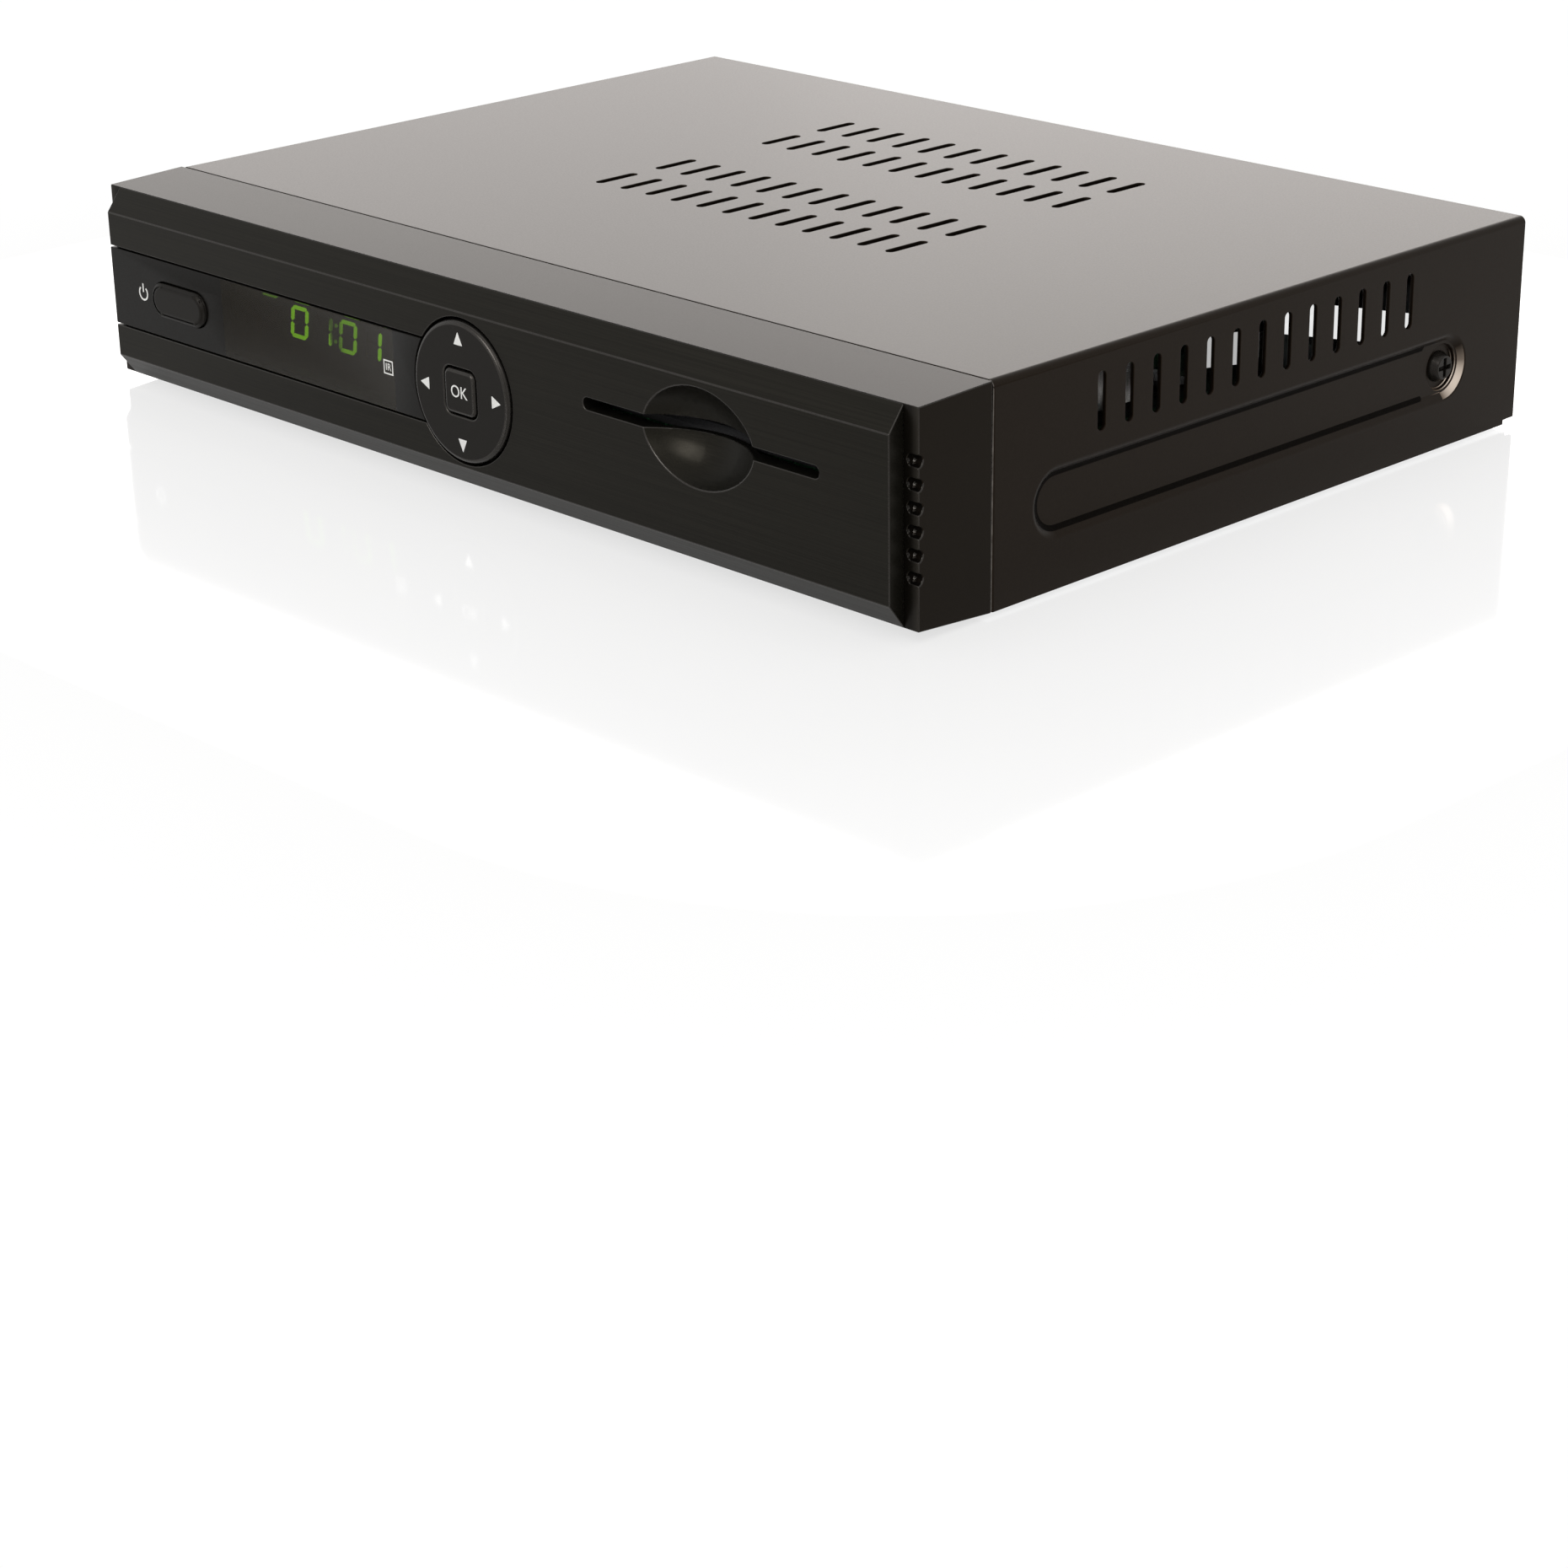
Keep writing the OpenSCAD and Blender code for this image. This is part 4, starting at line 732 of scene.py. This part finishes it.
# %% Bare steel and painted highlights on the cover
SEAM_W = 0.2
PRESSING_DEPTH = 1.9
WALL_SLOPE = (0.3, 0.96)
WALLS = ((3.6, 4.6), (4.9, 6.1))


def on_seam(place, way):
    """Front edge of the cover, where it looks forward and out to the sides, which get the painted line of
    light.
    """
    return place.y < cover_low.y / MM + SEAM_W and abs(way.x) > 0.2 and way.y < -0.2


def round_screw(place, way):
    """Distance from the screw of a sloping outer wall of the pressing, or nothing."""
    sloping = WALL_SLOPE[0] < abs(way.x) < WALL_SLOPE[1]
    if SIDE - abs(place.x) > PRESSING_DEPTH or way.x * place.x < 0 or not sloping:
        return None
    return math.hypot(place.y - SCREW_Y, place.z - SCREW_Z)


def wall_finish(reach):
    """Bare steel with its painted highlight on both sloping walls, plain paint between them."""
    return 3 if any(inner < reach < outer for inner, outer in WALLS) else 0


cover = rounded["top_cover"]
cover.data.materials.append(finishes["bare_edge"])
cover.data.materials.append(finishes["rubbed_steel"])
for polygon in cover.data.polygons:
    place = polygon.center / MM
    reach = round_screw(place, polygon.normal)
    if on_seam(place, polygon.normal):
        polygon.material_index = 2
    elif reach and reach < WALLS[-1][1]:
        polygon.material_index = wall_finish(reach)
print("cover faces by finish:", faces_by_slot(cover))

# %% [markdown]
# ## Printed marks
# The front carries a few marks in white ink: the power sign, four arrows round the OK button, the word on
# that button, and a boxed sign over the infrared eye. Each is a flat shape a few hundredths of a
# millimetre thick that lies on its surface and rides with the piece under it. A mark is drawn lying flat,
# gets its thickness from a Solidify modifier, and is then stood upright in its place.

# %% White ink
def white_ink():
    """Screen-printed ink, slightly uneven where the screen left it."""
    material, tree, shader = start_finish("white_ink", rough=0.5, specular=0.3)
    patches = noise(tree, size_mm=0.12)
    tint(tree, shader, patches, dark=(0.80, 0.80, 0.78), light=(0.93, 0.93, 0.91))
    bump(tree, shader, patches, depth_mm=0.004)
    return material


INK = white_ink()
INK_T = 0.03 * MM
face_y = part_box("face_plate")[0].y
band_low, band_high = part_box("display_window")
band_z = (band_low.z + band_high.z) / 2
ring_low, ring_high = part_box("nav_ring")
nav_x = (ring_low.x + ring_high.x) / 2


def lay_on_front(piece, x, y, z, body):
    """Stand a flat drawing upright at (x, z), give it the ink's thickness and fasten it."""
    pick(piece)
    bpy.ops.object.modifier_add(type="SOLIDIFY")
    piece.modifiers[-1].thickness = INK_T
    piece.modifiers[-1].offset = 1.0
    bpy.ops.object.modifier_apply(modifier=piece.modifiers[-1].name)
    piece.matrix_world = Matrix.Translation((x, y, z)) @ Matrix.Rotation(math.radians(90), 4, "X")
    bpy.ops.object.transform_apply(location=True, rotation=True, scale=True)
    piece.data.materials.clear()
    piece.data.materials.append(INK)
    return hold(piece, body, "white_plastic")


print("band height:", round(band_z / MM, 2), "ring axis:", round(nav_x / MM, 2))

# %% [markdown]
# The arrows start as a three-sided circle, which is a triangle with its tip up. It is moved so that its
# middle lies half-way up, scaled to the size that the ring carries, and rounded at its tips. Four copies,
# turned in quarter steps, point outwards.

# %% Arrows round the ring
ARROW_AT = 9.9 * MM
ARROW_H = 2.4 * MM
ARROW_W = 2.35 * MM
ARROW_TIP = 0.12 * MM
TRIANGLE_W, TRIANGLE_H = math.sqrt(3), 1.5


def flat_arrow():
    """The drawing of an arrow that points up from the ring's middle."""
    bpy.ops.object.select_all(action="DESELECT")
    bpy.ops.mesh.primitive_circle_add(vertices=3, radius=1, fill_type="NGON")
    open_mesh()
    bpy.ops.transform.translate(value=(0, TRIANGLE_H / 2 - 1, 0))
    bpy.ops.transform.resize(value=(ARROW_W / TRIANGLE_W, ARROW_H / TRIANGLE_H, 1), center_override=(0, 0, 0))
    bpy.ops.transform.translate(value=(0, ARROW_AT, 0))
    bpy.ops.mesh.bevel(offset=ARROW_TIP, segments=2, affect="VERTICES")
    close_mesh()
    return bpy.context.object


def printed_arrow(drawing, name, turn):
    """A copy of the drawing, turned about the ring's middle and printed on the ring."""
    piece = bpy.data.objects.new(name, drawing.data.copy())
    bpy.context.collection.objects.link(piece)
    piece.data.transform(Matrix.Rotation(turn, 4, "Z"))
    return lay_on_front(piece, nav_x, ring_low.y, band_z, "nav_ring")


drawing = flat_arrow()
arrows = [printed_arrow(drawing, "arrow_" + way, math.radians(turn))
          for way, turn in (("up", 0), ("left", 90), ("down", 180), ("right", 270))]
bpy.data.objects.remove(drawing)
print("arrows:", [piece.name for piece in arrows])

# %% [markdown]
# Letters are text objects turned into meshes. The word on the button and the sign of the eye are the
# common ones of any such device. Capitals fill seven tenths of a text's size, so the size follows from
# the height that the print has.

# %% Words
CAPITAL = 0.7
OK_H = 2.2
IR_H = 1.35
EYE_Z = band_z + 0.3 * MM


def word(name, text, height_mm, x, y, z, body):
    """A printed word, centred at (x, z)."""
    bpy.ops.object.select_all(action="DESELECT")
    bpy.ops.object.text_add()
    piece = bpy.context.object
    piece.data.body = text
    piece.data.align_x = "CENTER"
    piece.data.align_y = "CENTER"
    piece.data.size = height_mm * MM / CAPITAL
    bpy.ops.object.convert(target="MESH")
    piece = bpy.context.object
    piece.name = name
    return lay_on_front(piece, x, y, z, body)


ok_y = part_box("ok_button")[0].y
ok_word = word("ok_word", "OK", OK_H, nav_x, ok_y, band_z, "ok_button")
eye_word = word("eye_word", "IR", IR_H, EYE_X, face_y, EYE_Z, "housing")
print("words:", ok_word.name, eye_word.name)

# %% [markdown]
# The box round the eye's sign is a plane whose middle is inset and removed.

# %% Box of the eye's sign
EYE_BOX = 2.7 * MM
EYE_LINE = 0.26 * MM


def eye_frame():
    """Thin upright box round the eye's sign."""
    bpy.ops.object.select_all(action="DESELECT")
    bpy.ops.mesh.primitive_plane_add(size=1)
    piece = bpy.context.object
    piece.name = "eye_frame"
    open_mesh()
    bpy.ops.transform.resize(value=(EYE_BOX, EYE_BOX, 1))
    bpy.ops.mesh.inset(thickness=EYE_LINE)
    bpy.ops.mesh.delete(type="FACE")
    close_mesh()
    return lay_on_front(piece, EYE_X, face_y, EYE_Z, "housing")


eye_box = eye_frame()
print("box:", eye_box.name)

# %% [markdown]
# The power sign is an open ring with a stroke through its gap: a circle loses its top points, is extruded
# inwards to a flat band, and is joined with a narrow plane.

# %% Power sign
POWER_X = -96.6 * MM
POWER_Z = band_z + 0.1 * MM
POWER_R = 1.5 * MM
POWER_LINE = 0.36 * MM
GAP_FROM = 0.80
BAR_LENGTH = 1.15
BAR_MIDDLE = 0.72


def open_ring(radius, stroke):
    """Flat band round a circle, open at the top."""
    bpy.ops.object.select_all(action="DESELECT")
    bpy.ops.mesh.primitive_circle_add(vertices=64, radius=radius, fill_type="NOTHING")
    ring = bpy.context.object
    bpy.ops.object.mode_set(mode="EDIT")
    bpy.ops.mesh.select_mode(type="VERT")
    bpy.ops.mesh.select_all(action="DESELECT")
    close_mesh()
    for vertex in ring.data.vertices:
        vertex.select = vertex.co.y > radius * GAP_FROM
    bpy.ops.object.mode_set(mode="EDIT")
    bpy.ops.mesh.delete(type="VERT")
    bpy.ops.mesh.select_all(action="SELECT")
    bpy.ops.mesh.extrude_edges_move()
    inner = (radius - stroke) / radius
    bpy.ops.transform.resize(value=(inner, inner, 1), center_override=(0, 0, 0))
    bpy.ops.mesh.select_all(action="SELECT")
    bpy.ops.mesh.normals_make_consistent(inside=False)
    close_mesh()
    return ring


def upright_bar(radius, stroke):
    """Narrow plane through the gap of the ring."""
    bpy.ops.object.select_all(action="DESELECT")
    bpy.ops.mesh.primitive_plane_add(size=1)
    open_mesh()
    bpy.ops.transform.resize(value=(stroke, radius * BAR_LENGTH, 1))
    bpy.ops.transform.translate(value=(0, radius * BAR_MIDDLE, 0))
    close_mesh()
    return bpy.context.object


def power_sign():
    """Open ring with an upright stroke."""
    ring = open_ring(POWER_R, POWER_LINE)
    pick(upright_bar(POWER_R, POWER_LINE), ring)
    bpy.ops.object.join()
    ring.name = "power_sign"
    open_mesh()
    bpy.ops.mesh.normals_make_consistent(inside=False)
    close_mesh()
    return lay_on_front(ring, POWER_X, face_y, POWER_Z, "housing")


power_mark = power_sign()
print("sign:", power_mark.name)

# %% [markdown]
# ## Floor, light and camera
# The receiver stands on a pale glossy floor that fades to pure white. A light path node tells the rays that
# show the floor or the world, which are camera, mirror and see-through rays, from those that only carry
# light. The world is plain white to the first and softer to the second.

# %% White seen by camera, mirror and see-through rays
AMBIENT = 0.7


def seen_directly(tree):
    """1 for camera, glossy and transmission rays, 0 for the rays that carry diffuse light."""
    path = tree.nodes.new("ShaderNodeLightPath")
    first = tree.nodes.new("ShaderNodeMath")
    first.operation = "MAXIMUM"
    second = tree.nodes.new("ShaderNodeMath")
    second.operation = "MAXIMUM"
    tree.links.new(path.outputs["Is Camera Ray"], first.inputs[0])
    tree.links.new(path.outputs["Is Glossy Ray"], first.inputs[1])
    tree.links.new(first.outputs["Value"], second.inputs[0])
    tree.links.new(path.outputs["Is Transmission Ray"], second.inputs[1])
    return second.outputs["Value"]


def studio_world():
    """White where it is seen, softer where it only lights."""
    world = bpy.data.worlds.new("studio")
    bpy.context.scene.world = world
    world.use_nodes = True
    tree = world.node_tree
    shown = tree.nodes["Background"]
    shown.inputs["Color"].default_value = (1, 1, 1, 1)
    shown.inputs["Strength"].default_value = 1.0
    light = tree.nodes.new("ShaderNodeBackground")
    light.inputs["Color"].default_value = (1, 0.99, 0.97, 1)
    light.inputs["Strength"].default_value = AMBIENT
    mix = tree.nodes.new("ShaderNodeMixShader")
    tree.links.new(seen_directly(tree), mix.inputs["Fac"])
    tree.links.new(light.outputs["Background"], mix.inputs[1])
    tree.links.new(shown.outputs["Background"], mix.inputs[2])
    tree.links.new(mix.outputs["Shader"], tree.nodes["World Output"].inputs["Surface"])
    return world


print("world:", studio_world().name)

# %% [markdown]
# For camera rays a share of the floor's colour is plain white, which grows with the distance from the box;
# the rest is an ordinary diffuse floor that keeps the soft shadow. For mirror and see-through rays the share
# is painted light and shade: it is raised at the foot of the box, a painted light that the lower bevels
# reflect, and lowered a little further out, a painted shade that the downward sloping walls reflect, before
# it grows to full white. Its gloss shows a faint mirror image of the box, which fades with distance too.
# From below the floor is see-through, so that the underside can be looked at.

# %% Floor
FLOOR_R = 4
FLOOR_DROP = 0.05 * MM
FLOOR_PALE = 0.88
FLOOR_WHITE = (1.01, 1.01, 1.01, 1)


def by_distance(tree, stops):
    """Value that follows the distance from the foot of the box, in metres."""
    foot = (cad_box[1].x, cad_box[1].y, 0)
    away = measured(tree, ("ABSOLUTE", None), ("SUBTRACT", foot), ("MAXIMUM", (0, 0, 0)), ("LENGTH", None))
    return follow(tree, away, stops)


def white_share(tree, seen, mirror_share_painted):
    """Share of plain white: one run for the camera, another in mirrors, and none for diffuse light."""
    path = tree.nodes.new("ShaderNodeLightPath")
    choose = tree.nodes.new("ShaderNodeMix")
    times = tree.nodes.new("ShaderNodeMath")
    times.operation = "MULTIPLY"
    tree.links.new(path.outputs["Is Camera Ray"], choose.inputs["Factor"])
    tree.links.new(by_distance(tree, mirror_share_painted), choose.inputs["A"])
    tree.links.new(by_distance(tree, seen), choose.inputs["B"])
    tree.links.new(choose.outputs["Result"], times.inputs[0])
    tree.links.new(seen_directly(tree), times.inputs[1])
    return times.outputs["Value"]


def clear_from_below(tree, shader):
    """See-through where the floor is looked at from its back."""
    side = tree.nodes.new("ShaderNodeNewGeometry")
    clear = tree.nodes.new("ShaderNodeBsdfTransparent")
    mix = tree.nodes.new("ShaderNodeMixShader")
    tree.links.new(side.outputs["Backfacing"], mix.inputs["Fac"])
    tree.links.new(shader.outputs["BSDF"], mix.inputs[1])
    tree.links.new(clear.outputs["BSDF"], mix.inputs[2])
    tree.links.new(mix.outputs["Shader"], tree.nodes["Material Output"].inputs["Surface"])


def floor_finish(seen, mirror_share_painted, gloss):
    """Pale gloss with a share of plain white; all three follow the distance from the box."""
    material, tree, shader = start_finish("pale_floor", rough=0.07)
    shader.inputs["Emission Color"].default_value = FLOOR_WHITE
    tree.links.new(by_distance(tree, gloss), shader.inputs["Specular IOR Level"])
    white = white_share(tree, seen, mirror_share_painted)
    rest = tree.nodes.new("ShaderNodeMapRange")
    rest.inputs["To Min"].default_value = FLOOR_PALE
    rest.inputs["To Max"].default_value = 0.0
    tree.links.new(white, shader.inputs["Emission Strength"])
    tree.links.new(white, rest.inputs["Value"])
    tree.links.new(rest.outputs["Result"], shader.inputs["Base Color"])
    clear_from_below(tree, shader)
    return material


bpy.ops.object.select_all(action="DESELECT")
bpy.ops.mesh.primitive_circle_add(vertices=96, radius=FLOOR_R, fill_type="NGON", location=(0, 0, -FLOOR_DROP))
floor = bpy.context.object
floor.name = "floor"
# The mirrored run paints light at the foot of the box and shade just beyond it.
floor.data.materials.append(floor_finish(
    seen=[(0, 0.70), (0.04, 0.74), (0.16, 1.0)],
    mirror_share_painted=[(0, 0.55), (0.012, 0.24), (0.05, 0.24), (0.30, 1.0)],
    gloss=[(0, 0.9), (0.05, 0.35), (0.10, 0.0)]))
print("stage:", floor.name)

# %% [markdown]
# An area lamp's brightness as seen in a mirror is its power divided by pi and by its area, so each softbox
# is given the brightness that its reflection should have, and its power follows from its size. Wide ones
# behind the left rear corner make the steel top glow, with the brighter share on the right. A large one
# overhead fills the rest, and two small ones, above the camera and in front, put fine lines of light on
# the rounded edges and a soft spot in the thumb dish. The front one is bright but shows in reflections
# only, so the floor stays as it is. Two small slanting ones inside the box stand for the daylight that
# falls in from the rear: they are seen through the side vents as bright patches in front of the tin cans,
# lower from vent to vent. Each row gives a lamp's place, the point that it faces, its width and height in
# metres, and its brightness.

# %% Softboxes
TUNGSTEN = (1, 0.945, 0.905)


def softbox(name, place, aim, width, height, brightness, colour=(1, 1, 1), turn=0, shown="all"):
    """Rectangular lamp at a place, facing a point, with the brightness that a mirror would show."""
    lamp = bpy.data.lights.new(name, "AREA")
    lamp.shape = "RECTANGLE"
    lamp.size = width
    lamp.size_y = height
    lamp.energy = brightness * math.pi * width * height
    lamp.color = colour
    holder = bpy.data.objects.new(name, lamp)
    facing = (Vector(aim) - Vector(place)).to_track_quat("-Z", "Y").to_matrix().to_4x4()
    holder.matrix_world = Matrix.Translation(place) @ facing @ Matrix.Rotation(math.radians(turn), 4, "Z")
    holder.visible_camera = shown == "directly"
    holder.visible_diffuse = shown != "in mirrors"
    bpy.context.collection.objects.link(holder)
    return holder


def inner_glow(name, place, width, height, brightness, turn):
    """Patch of daylight inside the box that faces the right side; its height counts from the stand."""
    x, y, z = place
    z += STAND
    return softbox(name, (x, y, z), (SIDE * MM, y, z), width, height, brightness, turn=turn, shown="directly")


lamps = [
    softbox("rear_softbox", (-1.22, 1.56, 0.50), (0, 0, 0.04), 2.6, 1.2, 1.9, colour=TUNGSTEN),
    softbox("rear_right_softbox", (-0.90, 1.76, 0.50), (0, 0, 0.04), 1.35, 1.2, 0.42, colour=TUNGSTEN),
    softbox("overhead_softbox", (0.2, -0.2, 1.7), (0, 0, 0), 1.8, 1.8, 0.5),
    softbox("camera_softbox", (0.83, -0.88, 1.06), (0, 0, 0.02), 0.6, 0.6, 3.0),
    softbox("front_softbox", (-0.10, -1.15, 0.60), (0.06, -0.08, 0.02), 0.5, 0.5, 11.0, shown="in mirrors"),
    inner_glow("inner_rear_glow", (0.0925, 0.0508, 0.0213), 0.0510, 0.0061, 0.8, 15),
    inner_glow("inner_front_glow", (0.0890, 0.0170, 0.0228), 0.0195, 0.0060, 0.45, 8),
]
print("lamps:", [lamp.name for lamp in lamps])

# %% [markdown]
# The camera stands to the right of the front corner and a little above it. Its place and angles were
# worked out from the edges of the box in the photograph.

# %% Camera
CAMERA_AT = (0.4860, -0.4753, STAND + 0.2042)
AZIMUTH, ELEVATION, ROLL = 46.133, 22.866, -0.931
SENSOR_MM, LENS_MM = 36, 82.95
camera = bpy.data.objects.new("camera", bpy.data.cameras.new("camera"))
bpy.context.collection.objects.link(camera)
camera.data.sensor_width = SENSOR_MM
camera.data.lens = LENS_MM
camera.data.clip_start = 0.01
look = Euler((math.radians(90 - ELEVATION), 0, math.radians(AZIMUTH))).to_matrix().to_4x4()
camera.matrix_world = Matrix.Translation(CAMERA_AT) @ look @ Matrix.Rotation(math.radians(ROLL), 4, "Z")
bpy.context.scene.camera = camera
bpy.context.scene.view_settings.view_transform = "Standard"
print("camera:", [round(c, 3) for c in camera.location])
